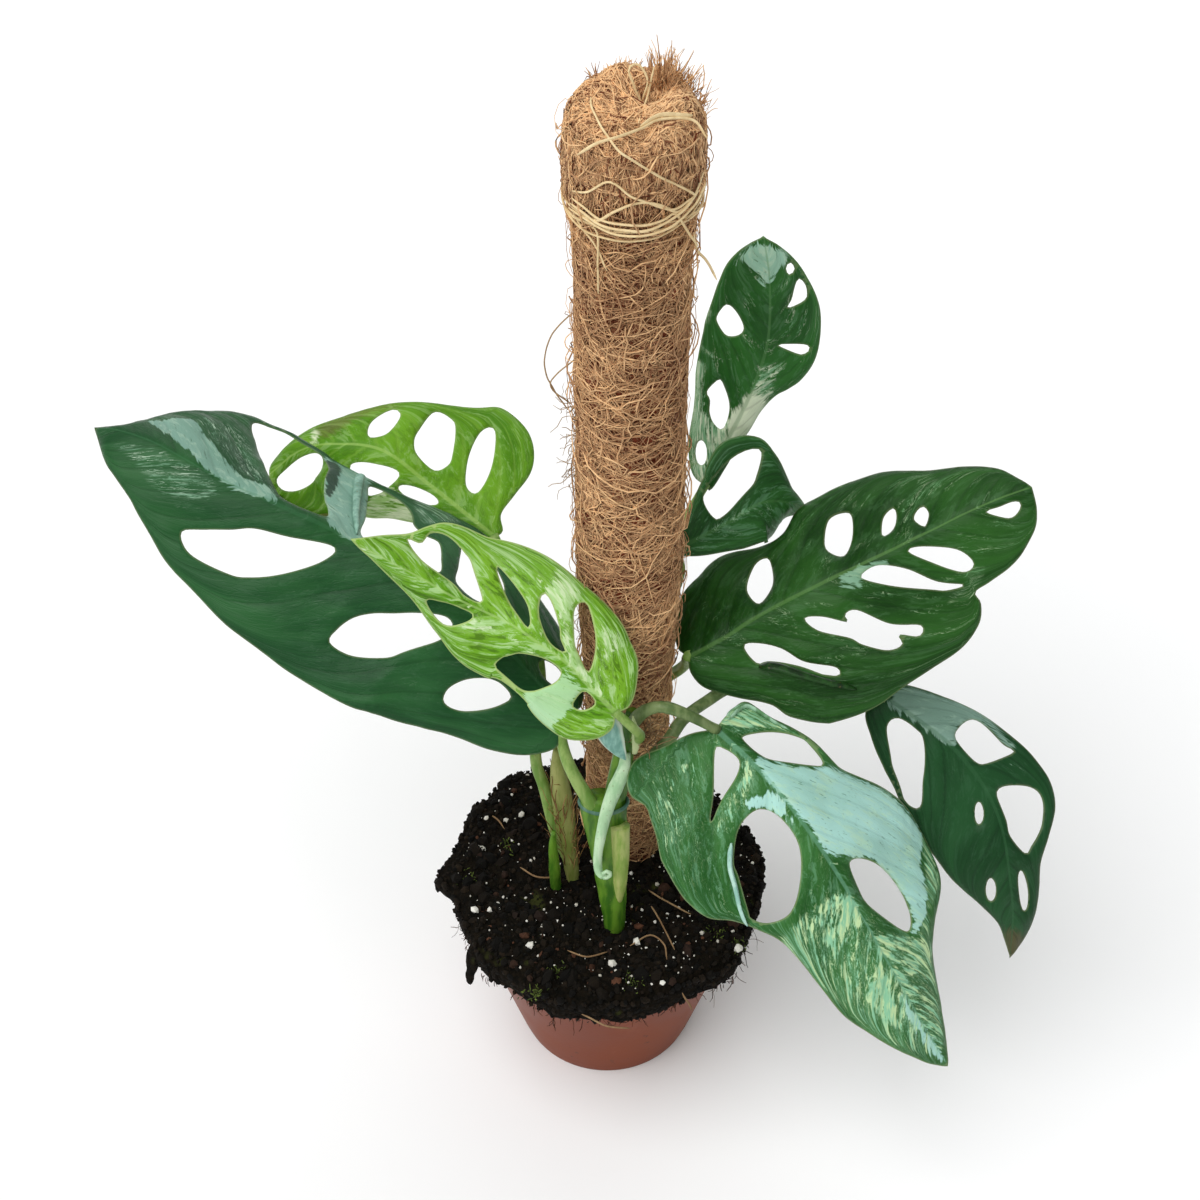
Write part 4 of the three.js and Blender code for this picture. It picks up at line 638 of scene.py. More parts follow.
# Markings read off each blade as loops of (along, out): silver patches, which are partly silvery marking and
# partly painted sheen, cream, dark, brown or plain patches, and the stretches where marbling is as dense as
# the number, from 0 to 1
MARKS = {
    "left_large": [
        ("silver_and_sheen", 1, [(202, -11), (199, -16), (189, -27), (177, -19), (166, -13), (154, -6), (144, -6),
             (138, -1), (141, 0), (155, 1), (168, -1), (178, -5), (186, -8), (194, -9)]),
        ("silver_and_sheen", 0.9, [(134, -56), (125, -56), (118, -58), (114, -56), (108, -28), (102, -7), (107, 0),
             (116, -2), (121, -12), (127, -33)]),
        ("marble", 0.62, [(208, 6), (197, 10), (183, 16), (175, 16), (167, 13), (160, 9), (158, 4),
             (167, 0), (178, 1), (190, 1)]),
        ("marble", 0.58, [(188, -27), (183, -37), (166, -38), (158, -29), (145, -9), (154, -7),
             (167, -15), (178, -21)]),
        ("marble", 0.45, [(200, -13), (200, -27), (187, -43), (175, -51), (168, -51), (166, -38),
             (182, -36), (190, -27)]),
        ("marble", 0.65, [(99, -53), (93, -60), (86, -59), (78, -55), (78, -51), (83, -44), (87, -37),
             (93, -40)]),
        ("dark", 0.9, [(133, -54), (127, -55), (123, -49), (122, -38), (122, -25), (124, -27), (128, -41)]),
        ("deep", 0.8, [(160, 9), (153, 5), (142, 1), (152, 7), (159, 11)]),
    ],
    "right_large": [
        ("marble", 0.62, [(111, 27), (117, 23), (117, 16), (111, 14), (105, 13), (100, 7), (96, 8),
             (99, 18), (107, 20)]),
        ("marble", 0.55, [(127, -1), (142, 0), (145, -1), (129, -1), (121, -2), (116, -5), (128, -12),
             (132, -16), (119, -12), (111, -5), (116, -2)]),
        ("silver_and_sheen", 0.7, [(66, -1), (79, -1), (83, -1), (87, -4), (76, -3), (73, -4), (75, -8), (70, -6)]),
        ("marble", 0.5, [(55, 30), (71, 34), (71, 31), (57, 22), (53, 23)]),
        ("marble", 0.62, [(106, -18), (114, -19), (119, -22), (116, -25), (108, -31), (105, -29),
             (98, -29), (101, -25), (108, -24)]),
    ],
    "front": [
        ("silver_and_sheen", 1, [(19, 3), (26, 8), (35, 17), (41, 26), (49, 31), (62, 40), (77, 45), (91, 48),
             (99, 37), (109, 33), (116, 25), (117, 17), (112, 21), (99, 23), (86, 21), (78, 16), (71, 8),
             (64, 2), (51, 1), (37, 0), (25, 0)]),
        ("marble", 1, [(79, -5), (85, 1), (94, 0), (118, -3), (148, -7), (142, -13), (129, -16),
             (115, -7), (98, -4), (97, -17), (94, -26), (92, -14)]),
        ("marble", 0.9, [(106, 5), (117, 16), (128, 23), (137, 17), (131, 10), (131, 0), (113, 0)]),
        ("marble", 0.7, [(-1, -35), (1, -31), (11, -32), (14, -28), (21, -36), (24, -42), (16, -46),
             (6, -41)]),
        ("marble", 0.85, [(-3, 2), (-1, 17), (8, 19), (18, 23), (28, 26), (24, 24), (14, 15), (8, 5)]),
        ("marble", 0.48, [(-13, -31), (-9, -20), (4, -6), (16, -20), (27, -30), (45, -44), (40, -52),
             (8, -45), (-2, -38)]),
        ("marble", 0.7, [(14, 0), (23, -1), (27, -8), (31, -18), (36, -27), (29, -29), (21, -17),
             (19, -6)]),
        ("silver_and_sheen", 0.8, [(29, -11), (32, -2), (38, -1), (48, -4), (42, -5), (36, -8), (32, -12)]),
        ("marble", 0.74, [(80, -4), (84, -31), (100, -30), (122, -26), (146, -18), (166, -6), (170, 0),
             (160, 8), (142, 17), (120, 27), (112, 30), (118, 15), (100, 2)]),
        ("marble", 0.8, [(89, 47), (100, 48), (112, 42), (116, 31), (108, 32), (99, 40)]),
        ("marble", 0.7, [(112, -19), (122, -16), (138, -14), (153, -10), (140, -17), (124, -21)]),
        ("silver_and_sheen", 0.7, [(130, -1), (143, -1), (160, 0), (173, 0), (165, -3), (144, -3)]),
    ],
    "right_low": [
        ("silver_and_sheen", 1, [(2, -1), (5, 8), (16, 12), (27, 17), (35, 19), (44, 19), (49, 20), (46, 17),
             (36, 16), (30, 10), (30, 5), (33, 1), (27, -1), (19, -1), (10, -1)]),
        ("marble", 0.5, [(44, 1), (47, 7), (51, 17), (52, 21), (56, 21), (60, 16), (53, 10), (49, 4)]),
        ("marble", 0.5, [(74, 0), (78, 3), (84, 6), (91, 12), (99, 11), (95, 5), (84, 1)]),
        ("brown", 1, [(119, -2), (124, 5), (133, 4), (137, 0), (131, -3)]),
    ],
    "right_top": [
        ("silver_and_sheen", 1, [(102, 12), (108, 7), (110, 4), (108, -1), (104, -7), (101, -8), (94, -1), (92, 1),
             (95, 3), (99, 6), (104, 9)]),
        ("marble", 0.6, [(84, 1), (90, -1), (94, -8), (91, -9), (86, -2), (79, -1)]),
        ("marble", 0.6, [(65, 1), (69, 0), (71, -11), (75, -18), (73, -18), (70, -11), (66, -2)]),
        ("marble", 0.85, [(56, 2), (59, -6), (58, -9), (52, -7), (45, -9), (40, -5), (41, 0), (50, 1)]),
        ("cream", 1, [(44, -1), (43, -6), (36, -8), (28, -8), (22, -6), (18, -1), (24, 2), (33, 3), (41, 1)]),
        ("marble", 0.85, [(74, 27), (83, 23), (78, 21), (68, 24), (58, 24), (54, 15), (53, 13), (52, 20),
             (57, 26)]),
        ("marble", 1, [(44, 25), (48, 20), (36, 17), (27, 12), (28, 2), (11, -1), (-2, 0), (-1, 5),
             (15, 14)]),
    ],
    "right_back": [
        ("marble", 0.7, [(17, 2), (27, 2), (35, 1), (38, -1), (29, -2), (20, -1), (14, -1)]),
    ],
    "left_front": [
        ("marble", 0.85, [(118, 0), (105, 2), (91, 6), (81, 11), (74, 15), (66, 12), (56, 4), (62, 2),
             (71, 12), (78, 15), (89, 8), (98, 6), (109, 2)]),
        ("marble", 0.75, [(70, 10), (62, 1), (51, 2), (43, 4), (35, 4), (42, 8), (52, 6), (59, 8)]),
        ("silver_and_sheen", 1, [(32, 20), (24, 7), (25, 3), (20, 3), (15, 3), (14, 8), (12, 12), (11, 21),
             (9, 25), (15, 26), (26, 24)]),
        ("marble", 0.95, [(48, -17), (49, -27), (43, -27), (35, -24), (35, -17), (30, -9), (24, -4),
             (13, -3), (2, -1), (14, 0), (28, 0), (37, -10), (45, -14)]),
        ("marble", 0.8, [(29, -21), (25, -21), (19, -22), (13, -20), (16, -15), (13, -9), (8, -3),
             (16, -6), (23, -13), (27, -16)]),
        ("marble", 0.5, [(69, -26), (59, -29), (53, -26), (53, -23), (56, -20), (58, -16), (64, -19)]),
        ("marble", 0.5, [(112, -3), (102, -9), (89, -5), (78, -3), (89, -3), (104, -4)]),
        ("deep", 0.9, [(89, -21), (83, -20), (69, -13), (65, -2), (62, -7), (69, -17), (81, -23)]),
        ("deep", 0.8, [(67, 18), (59, 10), (44, 7), (52, 17), (56, 22), (62, 21)]),
        ("deep", 0.9, [(10, 21), (7, 13), (2, 4), (0, 9), (4, 20)]),
        ("deep", 0.8, [(14, -11), (12, -18), (8, -18), (4, -11), (5, -4), (9, -7)]),
    ],
    "left_back": [
        ("cream", 0.8, [(39, 23), (38, 18), (36, 14), (34, 13), (31, 15), (33, 17), (36, 20)]),
        ("marble", 0.95, [(50, 27), (49, 14), (40, 8), (30, 11), (24, 16), (30, 26), (41, 29)]),
        ("marble", 0.6, [(26, 4), (22, 1), (12, 2), (3, 1), (6, 3), (15, 5)]),
        ("brown", 0.7, [(88, -9), (85, -11), (75, -16), (67, -19), (60, -22), (66, -16), (72, -12),
             (76, -7), (84, -3)]),
        ("marble", 0.4, [(75, -10), (68, -14), (66, -17), (67, -10), (68, -2), (72, -3)]),
        ("cream", 0.9, [(89, -8), (86, -5), (86, -1), (88, -2)]),
    ],
}

# Marbling everywhere else on each blade
FLECKS = dict(left_large=0.1, left_back=0.34, left_front=0.42, right_top=0.3, right_back=0.3,
              right_large=0.24, front=0.4, right_low=0.12)
# How far the side veins of the (left, right) half lean towards the tip, in mm of run for a mm out, at the
# base and at the tip
LEANS = {
    "left_large": ((0.8, 2.0), (0.65, 0.8)),
    "left_back": ((1.0, 1.6), (0.5, 0.3)),
    "left_front": ((1.3, 1.1), (0.9, 1.9)),
    "right_top": ((1.3, 0.7), (0.3, 0.9)),
    "right_back": ((1.2, 1.4), (1.0, 1.0)),
    "right_large": ((0.5, 0.9), (1.1, 1.3)),
    "front": ((1.2, 1.6), (0.9, 1.5)),
    "right_low": ((0.9, 1.0), (1.3, 1.2)),
}
VEIN_BEND = 4.0


# Leaf blades


class Blade:
    """Carries a point of the flattened blade, (along the rib, out to the left), to its place in the plant."""

    def __init__(self, leaf):
        self.leaf = leaf
        self.curve = Curve(leaf["rib"])
        self.length = self.curve.length
        self.face = unit(np.array(leaf["face"], float))

    def place(self, u, v):
        s = np.clip(u, 0, self.length)
        ahead = self.curve.ahead(s)
        centre = self.curve.at(s) + ahead * (u - s)[:, None]
        up = unit(self.face - ahead * (ahead @ self.face)[:, None])
        left = np.cross(up, ahead)
        thirds = (0, self.length / 2, self.length)
        droop = np.where(v > 0, np.interp(s, thirds, self.leaf["droop_left"]),
                         np.interp(s, thirds, self.leaf["droop_right"]))
        out = np.abs(v)
        angle = np.radians(droop + BLADE["cup"] * out / 2)
        return centre + left * (v * np.cos(angle))[:, None] - up * (out * np.sin(angle))[:, None]

    def normal(self, u, v):
        side = np.where(v >= 0, 1.0, -1.0)
        across = np.where((np.abs(v) < 0.3)[:, None], self.place(u, v + 0.5) - self.place(u, v - 0.5),
                          (self.place(u, v + side) - self.place(u, v)) * side[:, None])
        along = self.place(u + 0.8, v) - self.place(u - 0.8, v)
        return unit(np.cross(along, across))


def margin_loop(leaf, length):
    halves = []
    for points, side in ((leaf["left"], 1), (leaf["right"], -1)):
        route = [(0, 0), *[(u, v * side) for u, v in points], (length, 0)]
        halves.append(Curve(route).spaced(BLADE["margin_step"]))
    return np.vstack([halves[0][:-1], halves[1][::-1][:-1]])


def hole_loop(hole):
    if isinstance(hole, list):
        closed = Curve([*hole[-2:], *hole, *hole[:2]], 12)
        whole = closed.points[2 * 12:-(2 * 12) + 11]
        return Curve(np.vstack([whole, whole[:1]]), 2).spaced(BLADE["margin_step"])[:-1]
    u, v, length, width, turn = hole
    count = max(12, round(math.pi * (length + width) / 2 / BLADE["margin_step"]))
    a = around(count)
    x, y = length / 2 * np.cos(a), width / 2 * np.sin(a)
    c, s = math.cos(math.radians(turn)), math.sin(math.radians(turn))
    return np.stack([u + x * c - y * s, v + x * s + y * c], -1)


def inside(points, loop):
    """Which of the points lie within the loop."""
    x, y = points[:, 0:1], points[:, 1:2]
    x0, y0 = loop[:, 0], loop[:, 1]
    x1, y1 = np.roll(x0, 1), np.roll(y0, 1)
    with np.errstate(divide="ignore", invalid="ignore"):
        crossed = ((y0 > y) != (y1 > y)) & (x < (x1 - x0) * (y - y0) / (y1 - y0) + x0)
    return crossed.sum(1) % 2 == 1


def in_blade(points, loops):
    held = inside(points, loops[0])
    for hole in loops[1:]:
        held &= ~inside(points, hole)
    return held


def nearest(points, others, batch=64):
    """The distance from each point to the nearest of the others, worked out a batch at a time."""
    away = np.full(len(points), np.inf)
    for start in range(0, len(others), batch):
        gap = np.linalg.norm(points[:, None] - others[None, start:start + batch], axis=2).min(1)
        away = np.minimum(away, gap)
    return away


# Rows of points beside the rib, and the even grid: how far out it starts and ends, and how far it runs
# past the rib's two ends
RIB_ROWS = (0, 0.7, -0.7, 1.5, -1.5, 2.6, -2.6)
GRID = dict(first=3.9, widest=72, behind=30, beyond=6)


def grid_points(loops, length):
    """Rows of points beside the rib and a grid of equal triangles elsewhere, clear of the edges."""
    step = BLADE["step"]
    rise = step * math.sqrt(3) / 2
    rows = [(v, np.arange(1, length - 1, BLADE["rib_step"])) for v in RIB_ROWS]
    reach = int(GRID["widest"] / rise)
    for row in range(-reach, reach + 1):
        if abs(row * rise) >= GRID["first"]:
            start = (row % 2) * step / 2 - GRID["behind"]
            rows.append((row * rise, np.arange(start, length + GRID["beyond"], step)))
    points = np.vstack([np.stack([u, np.full(len(u), float(v))], -1) for v, u in rows])
    points = points[in_blade(points, loops)]
    return points[nearest(points, np.vstack(loops)) > 0.55 * BLADE["margin_step"]]


def vein_run(name, leaf, length, u, v):
    """The place on the rib where the side vein through each point starts. The veins bend forwards."""
    out = np.abs(v)
    run = u.copy()
    for half, side, leans in ((leaf["left"], 1, LEANS[name][0]), (leaf["right"], -1, LEANS[name][1])):
        mine = v * side > 0
        along, reach = np.array(half, float).T
        share = np.clip(out[mine] / np.interp(u[mine], np.maximum.accumulate(along), reach), 0, 0.98)
        bend = VEIN_BEND * (1 / (1.06 - share) - 1 / 1.06)
        for _ in range(8):
            lean = np.interp(run[mine] / length, (0, 1), leans)
            run[mine] = (run[mine] + u[mine] - lean * out[mine] - bend) / 2
    return run


def vein_starts(name, leaf, side, length):
    """Where side veins leave the rib on one side, passing between that side's holes."""
    centres = []
    for hole in leaf["holes"]:
        loop = hole_loop(hole)
        if loop[:, 1].mean() * side > 0:
            centres.append(float(np.median(vein_run(name, leaf, length, *loop.T.copy()))))
    centres.sort()
    starts = [(a + b) / 2 for a, b in zip(centres, centres[1:])] or [length / 2]
    spacing = max(9.0, length / 12)
    while starts[0] > -90:
        starts.insert(0, starts[0] - spacing)
    while starts[-1] < length:
        starts.append(starts[-1] + spacing)
    return np.array(starts)


def vein_phase(name, leaf, length, run, v):
    """A number that grows by one from each side vein to the next, and how far apart they are there."""
    phase, spacing = np.zeros(len(v)), np.ones(len(v))
    for side in (1, -1):
        starts = vein_starts(name, leaf, side, length)
        mine = v >= 0 if side > 0 else v < 0
        phase[mine] = np.interp(run[mine], starts, np.arange(len(starts)))
        middles, gaps = (starts[1:] + starts[:-1]) / 2, np.diff(starts)
        spacing[mine] = 0.75 * np.interp(run[mine], middles, gaps)
    return phase, spacing


def markings(name, flat):
    """How deep each point lies in each kind of patch, in mm, and how dense the marbling is there."""
    depth = {kind: np.full(len(flat), -8.0) for kind in ("silver_and_sheen", "cream", "dark", "brown", "deep")}
    marble = np.full(len(flat), FLECKS[name])
    for kind, amount, points in MARKS[name]:
        loop = hole_loop(points)
        deep = nearest(flat, loop) * np.where(inside(flat, loop), 1, -1)
        if kind == "marble":
            marble = np.maximum(marble, amount * np.clip(0.5 + deep / 4, 0, 1))
        else:
            depth[kind] = np.maximum(depth[kind], deep)
    plain = np.clip(0.5 + depth.pop("deep") / 3, 0, 1)
    depth["silver_and_sheen"] = depth["silver_and_sheen"] - 12 * plain
    return dict(depth, marble=marble * (1 - plain))


def blade_net(loops, length):
    """Points and triangles over the blade, with the margin's and the holes' points first."""
    inner = grid_points(loops, length)
    edges, first = [], 0
    for loop in loops:
        edges += [(first + k, first + (k + 1) % len(loop)) for k in range(len(loop))]
        first += len(loop)
    found = geometry.delaunay_2d_cdt(np.vstack([*loops, inner]).tolist(), edges, [], 0, 1e-5)
    flat = np.array([tuple(p) for p in found[0]])
    triangles = np.array(found[2])
    triangles = triangles[in_blade(flat[triangles].mean(1), loops)]
    one, two = flat[triangles[:, 1]] - flat[triangles[:, 0]], flat[triangles[:, 2]] - flat[triangles[:, 0]]
    backwards = one[:, 0] * two[:, 1] < one[:, 1] * two[:, 0]
    triangles[backwards] = triangles[backwards][:, ::-1]
    return flat, triangles


def blade_mesh(name, leaf, quilt, wave):
    blade = Blade(leaf)
    loops = [margin_loop(leaf, blade.length), *map(hole_loop, leaf["holes"])]
    flat, triangles = blade_net(loops, blade.length)
    u, v = flat.T
    side = np.abs(v)
    rim = nearest(flat, np.vstack(loops))
    run = vein_run(name, leaf, blade.length, u, v)
    phase, spacing = vein_phase(name, leaf, blade.length, run, v)

    swell = np.abs(np.sin(math.pi * phase)) ** 0.7 * np.clip(side / 6, 0, 1) * np.clip(rim / 4, 0, 1)
    groove = -0.5 * np.exp(-(side / 0.9) ** 2)
    curl = wave * value_noise(flat, 21, len(name)) * np.clip(1.4 - rim / 9, 0, 1)
    lift = quilt * swell + groove + curl + 0.25 * layered_noise(flat, 9, 3)
    taper = np.clip(1 - u / blade.length, 0, 1)
    below = (BLADE["rib"] * (0.35 + 0.65 * taper)) * np.exp(-(side / 1.5) ** 2)
    thin = np.clip(rim / 1.6, 0.45, 1) * BLADE["thickness"] / 2
    centre, normal = blade.place(u, v), blade.normal(u, v)
    upper = centre + normal * (lift + thin)[:, None]
    lower = centre + normal * (lift - thin - below)[:, None]
    count = len(flat)
    faces = np.vstack([triangles, triangles[:, ::-1] + count]).tolist()
    faces += rim_walls(triangles, count)

    values = dict(markings(name, flat), phase=phase, spacing=spacing, rim=rim,
                  rib=side / (0.5 + 1.1 * taper))
    values = {key: np.tile(numbers, 2) for key, numbers in values.items()}
    values["under"] = np.repeat([0.0, 1.0], count)
    uv = np.tile(np.stack([run, v], -1) / 100, (2, 1))
    material = leaf_material("leaf_" + name, **LEAF_LOOKS[name])
    return make("leaf_blade_" + name, np.vstack([upper, lower]), faces, material, values, uv)


def rim_walls(triangles, count):
    """Quads that close the gap between the two faces along every edge that only one triangle has."""
    open_sides = {}
    for a, b, c in triangles.tolist():
        for start, end in ((a, b), (b, c), (c, a)):
            if (end, start) in open_sides:
                del open_sides[(end, start)]
            else:
                open_sides[(start, end)] = True
    return [[end, start, start + count, end + count] for start, end in open_sides]


# How far each blade swells between its side veins, and how far its edges wave, in mm
QUILTS = dict(left_large=0.7, left_back=0.6, left_front=0.8, right_top=0.7, right_back=0.6,
              right_large=1.2, front=0.9, right_low=0.8)
WAVES = dict(left_large=1.6, left_back=1.0, left_front=1.2, right_top=0.9, right_back=0.6,
             right_large=1.4, front=1.6, right_low=1.3)
for leaf_name, leaf_data in LEAVES.items():
    piece = blade_mesh(leaf_name, leaf_data, QUILTS[leaf_name], WAVES[leaf_name])
    finish_piece(piece, LEAF_SLOTS[leaf_name], "leaf_" + leaf_name)


# Stalks and stems


def rings_tube(rings, side, sides, step, ripple=0.0, seed=1):
    """A smooth tube through (centre, half width, half thickness) rings, rippled by soft noise."""
    centres = Curve([ring[0] for ring in rings])
    at = [0.0]
    for a, b in zip(rings, rings[1:]):
        at.append(at[-1] + math.dist(a[0], b[0]))
    at = np.array(at) * centres.length / at[-1]
    s = np.linspace(0, centres.length, max(6, int(centres.length / step)))
    wide = np.interp(s, at, [ring[1] for ring in rings])
    deep = np.interp(s, at, [ring[2] for ring in rings])
    points, faces = tube(centres.at(s), wide, deep, side, sides)
    if ripple:
        middle = np.repeat(centres.at(s), sides, axis=0)
        points = points + unit(points - middle) * (ripple * layered_noise(points, 7, seed))[:, None]
    return points, faces


PETIOLE_GREEN = stalk_material("stalk_green", (104, 142, 58), (146, 172, 96))
PETIOLE_GREY = stalk_material("stalk_grey_green", (84, 108, 60), (124, 142, 92))
STEM_GREEN = stalk_material("stem_green", (50, 96, 20), (100, 142, 42), 0.38)
STEM_OLIVE = stalk_material("stem_olive", (118, 132, 58), (156, 158, 92), 0.5)

STALK_SIDE = (1, 0.13, 0.07)
GREY_STALKS = ("front", "right_low")


def stalk(name, route, start, end):
    """A leaf stalk, a little wider than deep, that swells where it meets the blade."""
    curve = Curve(route)
    s = np.linspace(0, curve.length, max(12, int(curve.length / 2)))
    t = s / curve.length
    radius = start + (end - start) * t + 0.35 * np.exp(-((1 - t) / 0.06) ** 2)
    shape = tube(curve.at(s), radius * 1.04, radius * 0.96, STALK_SIDE, 18)
    material = PETIOLE_GREY if name in GREY_STALKS else PETIOLE_GREEN
    add("stalk_" + name, shape, material, "petiole", "petiole_" + name)


for stalk_name, settings in PETIOLES.items():
    stalk(stalk_name, *settings)

# Stems, each a list of (centre, half width, half thickness), and the direction that their width lies along
STEM_SIDE = (1, 0.1, 0)
FRONT_STEM = [
    ((3, -27, 58), 2, 2), ((3, -27, 85), 3.6, 3), ((3, -26.5, 97), 4.6, 3.6), ((2, -25, 112), 5.9, 4),
    ((1, -22, 133), 7.6, 4.4), ((-1, -18, 150), 8.8, 4.8), ((-1.5, -17, 154), 9.4, 5.4),
    ((-1.5, -16.5, 157), 9.4, 5.4), ((-1, -16, 160), 7.6, 4.6),
]
FRONT_STEM_TOP = [
    ((1, -17, 150), 4.2, 4), ((4, -15, 165), 4.4, 3.8), ((6, -12.5, 180), 4, 3.6),
    ((8, -11, 192), 3.6, 3.3), ((9.5, -10.5, 203), 2.4, 2.4),
]
CUT_PETIOLE = [
    ((4.5, -27, 108), 1.6, 1.6), ((5, -26.5, 120), 3, 3), ((5.2, -24.5, 135), 3.6, 3.4),
    ((5, -22, 149), 3.9, 3.4),
]
LEFT_STEM = [
    ((-14, -2, 58), 2, 2), ((-14, -2, 88), 2.6, 2.4), ((-15.5, -3, 108), 3.4, 3), ((-17, -4, 130), 4.2, 3.4),
    ((-18.5, -5, 150), 4, 3.2), ((-19.5, -5.5, 165), 2.8, 2.4), ((-20, -5.5, 176), 1.2, 1.2),
]
BACK_STEM = [
    ((12, 40, 58), 2.4, 2.4), ((15, 45, 88), 3.6, 3.4), ((18, 46, 130), 4, 3.6), ((20, 45.5, 170), 4, 3.6),
    ((21.5, 45.5, 200), 3.8, 3.4), ((23, 45.5, 228), 3, 2.8), ((24, 46, 238), 1.6, 1.6),
]
SHOOT = [
    ((-21, -6, 66), 1.6, 1.6), ((-21, -6.5, 88), 2.2, 2), ((-21.5, -8, 104), 2.4, 2),
    ((-21.8, -9.5, 122), 1.8, 1.6), ((-21.5, -10.5, 131), 0.9, 0.9),
]
ROLLED_LEAF = [
    ((7, -15.5, 185), 1.8, 1.5), ((6, -19.5, 179), 2.6, 2.2), ((3, -22.5, 172), 3, 2.6),
    ((0, -25, 163), 2.5, 2.2), ((-2.5, -27.5, 150), 2.1, 1.9), ((-3.8, -29.5, 139), 1.8, 1.7),
    ((-3.4, -31.5, 132), 1.6, 1.5), ((-1.6, -33, 130.5), 1.3, 1.3),
]

add("climbing_stem_front", joined([rings_tube(FRONT_STEM, STEM_SIDE, 28, 1.6, 0.25, 3),
                                   rings_tube(FRONT_STEM_TOP, STEM_SIDE, 22, 1.8, 0.2, 5)]),
    STEM_GREEN, "stem", "stem_front")
for piece_name, rings, material, node, seed in (
    ("climbing_stem_left", LEFT_STEM, STEM_OLIVE, "stem_left", 18),
    ("climbing_stem_back", BACK_STEM, STEM_GREEN, "stem_back", 18),
    ("young_shoot", SHOOT, STEM_GREEN, "shoot_left", 11),
):
    add(piece_name, rings_tube(rings, STEM_SIDE, 20, 1.8, 0.2, seed), material, "stem", node)
ROLLED = stalk_material("rolled_leaf", (156, 196, 150), (196, 224, 186), 0.4)
add("rolled_young_leaf", rings_tube(ROLLED_LEAF, STEM_SIDE, 22, 1.2, 0.1, 9), ROLLED, "leaf_rolled",
    "leaf_rolled")


# Small parts of the stems

SMALL_STEP = 1.4
CUT_STUB = stalk_material("cut_stub", (128, 158, 66), (176, 184, 112))
add("cut_petiole_stub", rings_tube(CUT_PETIOLE, STEM_SIDE, 20, SMALL_STEP, 0.12, 7), CUT_STUB, "stem")

SHEATH = [((10.4, -16.6, 186), 1, 0.6), ((11, -17.8, 197), 2, 0.7), ((9.4, -18, 209), 0.3, 0.3)]
SHEATH_PALE = stalk_material("pale_sheath", (168, 190, 128), (206, 216, 164))
add("pale_sheath", rings_tube(SHEATH, STEM_SIDE, 20, SMALL_STEP), SHEATH_PALE, "stem")

SPIRAL = [((-1.6, -33, 130.5), 1.2, 1.2), ((0.6, -33.6, 131.6), 1, 1), ((1, -33.8, 134), 0.9, 0.9),
          ((-0.6, -33.9, 135.2), 0.8, 0.8), ((-1.8, -34, 134), 0.7, 0.7), ((-1, -34.2, 132.9), 0.5, 0.5)]
add("rolled_leaf_tip", rings_tube(SPIRAL, (0, 1, 0), 12, SMALL_STEP), ROLLED, "stem")

# The ring round the front stem's node: its middle, its half sizes and the strip's half width and height
NODE = dict(middle=(-1.5, -16.6, 156.6), half=(9.5, 5.5, 0.5), strip=(0.7, 1.1))


def node_ring():
    turn = around(72)
    wave = np.stack([np.cos(turn), np.sin(turn), np.cos(2 * turn)], -1)
    return ribbon(NODE["middle"] + wave * NODE["half"], *NODE["strip"], NODE["middle"][:2], 10)


NODE_GREEN = stalk_material("node_ring", (64, 104, 88), (96, 132, 112))
add("stem_node_ring", node_ring(), NODE_GREEN, "stem")

# A silvery flap with a white margin hangs from the base of the front leaf's stalk
FLAP = [((-1.5, -24.5, 214), 4.6, 0.4), ((0, -25, 207), 5.6, 0.45), ((2, -24.5, 200), 4.6, 0.45),
        ((4.6, -23, 193), 2.6, 0.4), ((6.8, -21, 187.5), 0.5, 0.4)]
FLAP_SIDES = 24


def flap():
    """The flap, bowed back towards its sides, and how much of the margin's colour each point has."""
    points, faces = rings_tube(FLAP, (1, 0, 0.12), FLAP_SIDES, 0.9)
    middles = np.repeat(points.reshape(-1, FLAP_SIDES, 3).mean(1), FLAP_SIDES, axis=0)
    off = np.linalg.norm(points - middles, axis=1)
    widest = np.repeat(off.reshape(-1, FLAP_SIDES).max(1), FLAP_SIDES)
    points[:, 1] += 0.09 * off ** 2
    return (points, faces), np.clip((off / widest - 0.72) * 5, 0, 1)


def flap_material():
    s = Shader("silvery_flap", 0.4, Specular_IOR_Level=0.25)
    streak = s.noise(s.solid_place((1, 1, 0.3)), 420, 4)
    shade = s.mix(s.smooth(streak, 0.4, 0.65), (112, 162, 148), (150, 196, 182))
    return s.colour(s.mix(s.value("tone"), shade, (226, 238, 220))).bump(streak, 0.3).material


flap_shape, margin_tone = flap()
add("silvery_flap", flap_shape, flap_material(), "stem", values=dict(tone=margin_tone))


# Curled leaf edges


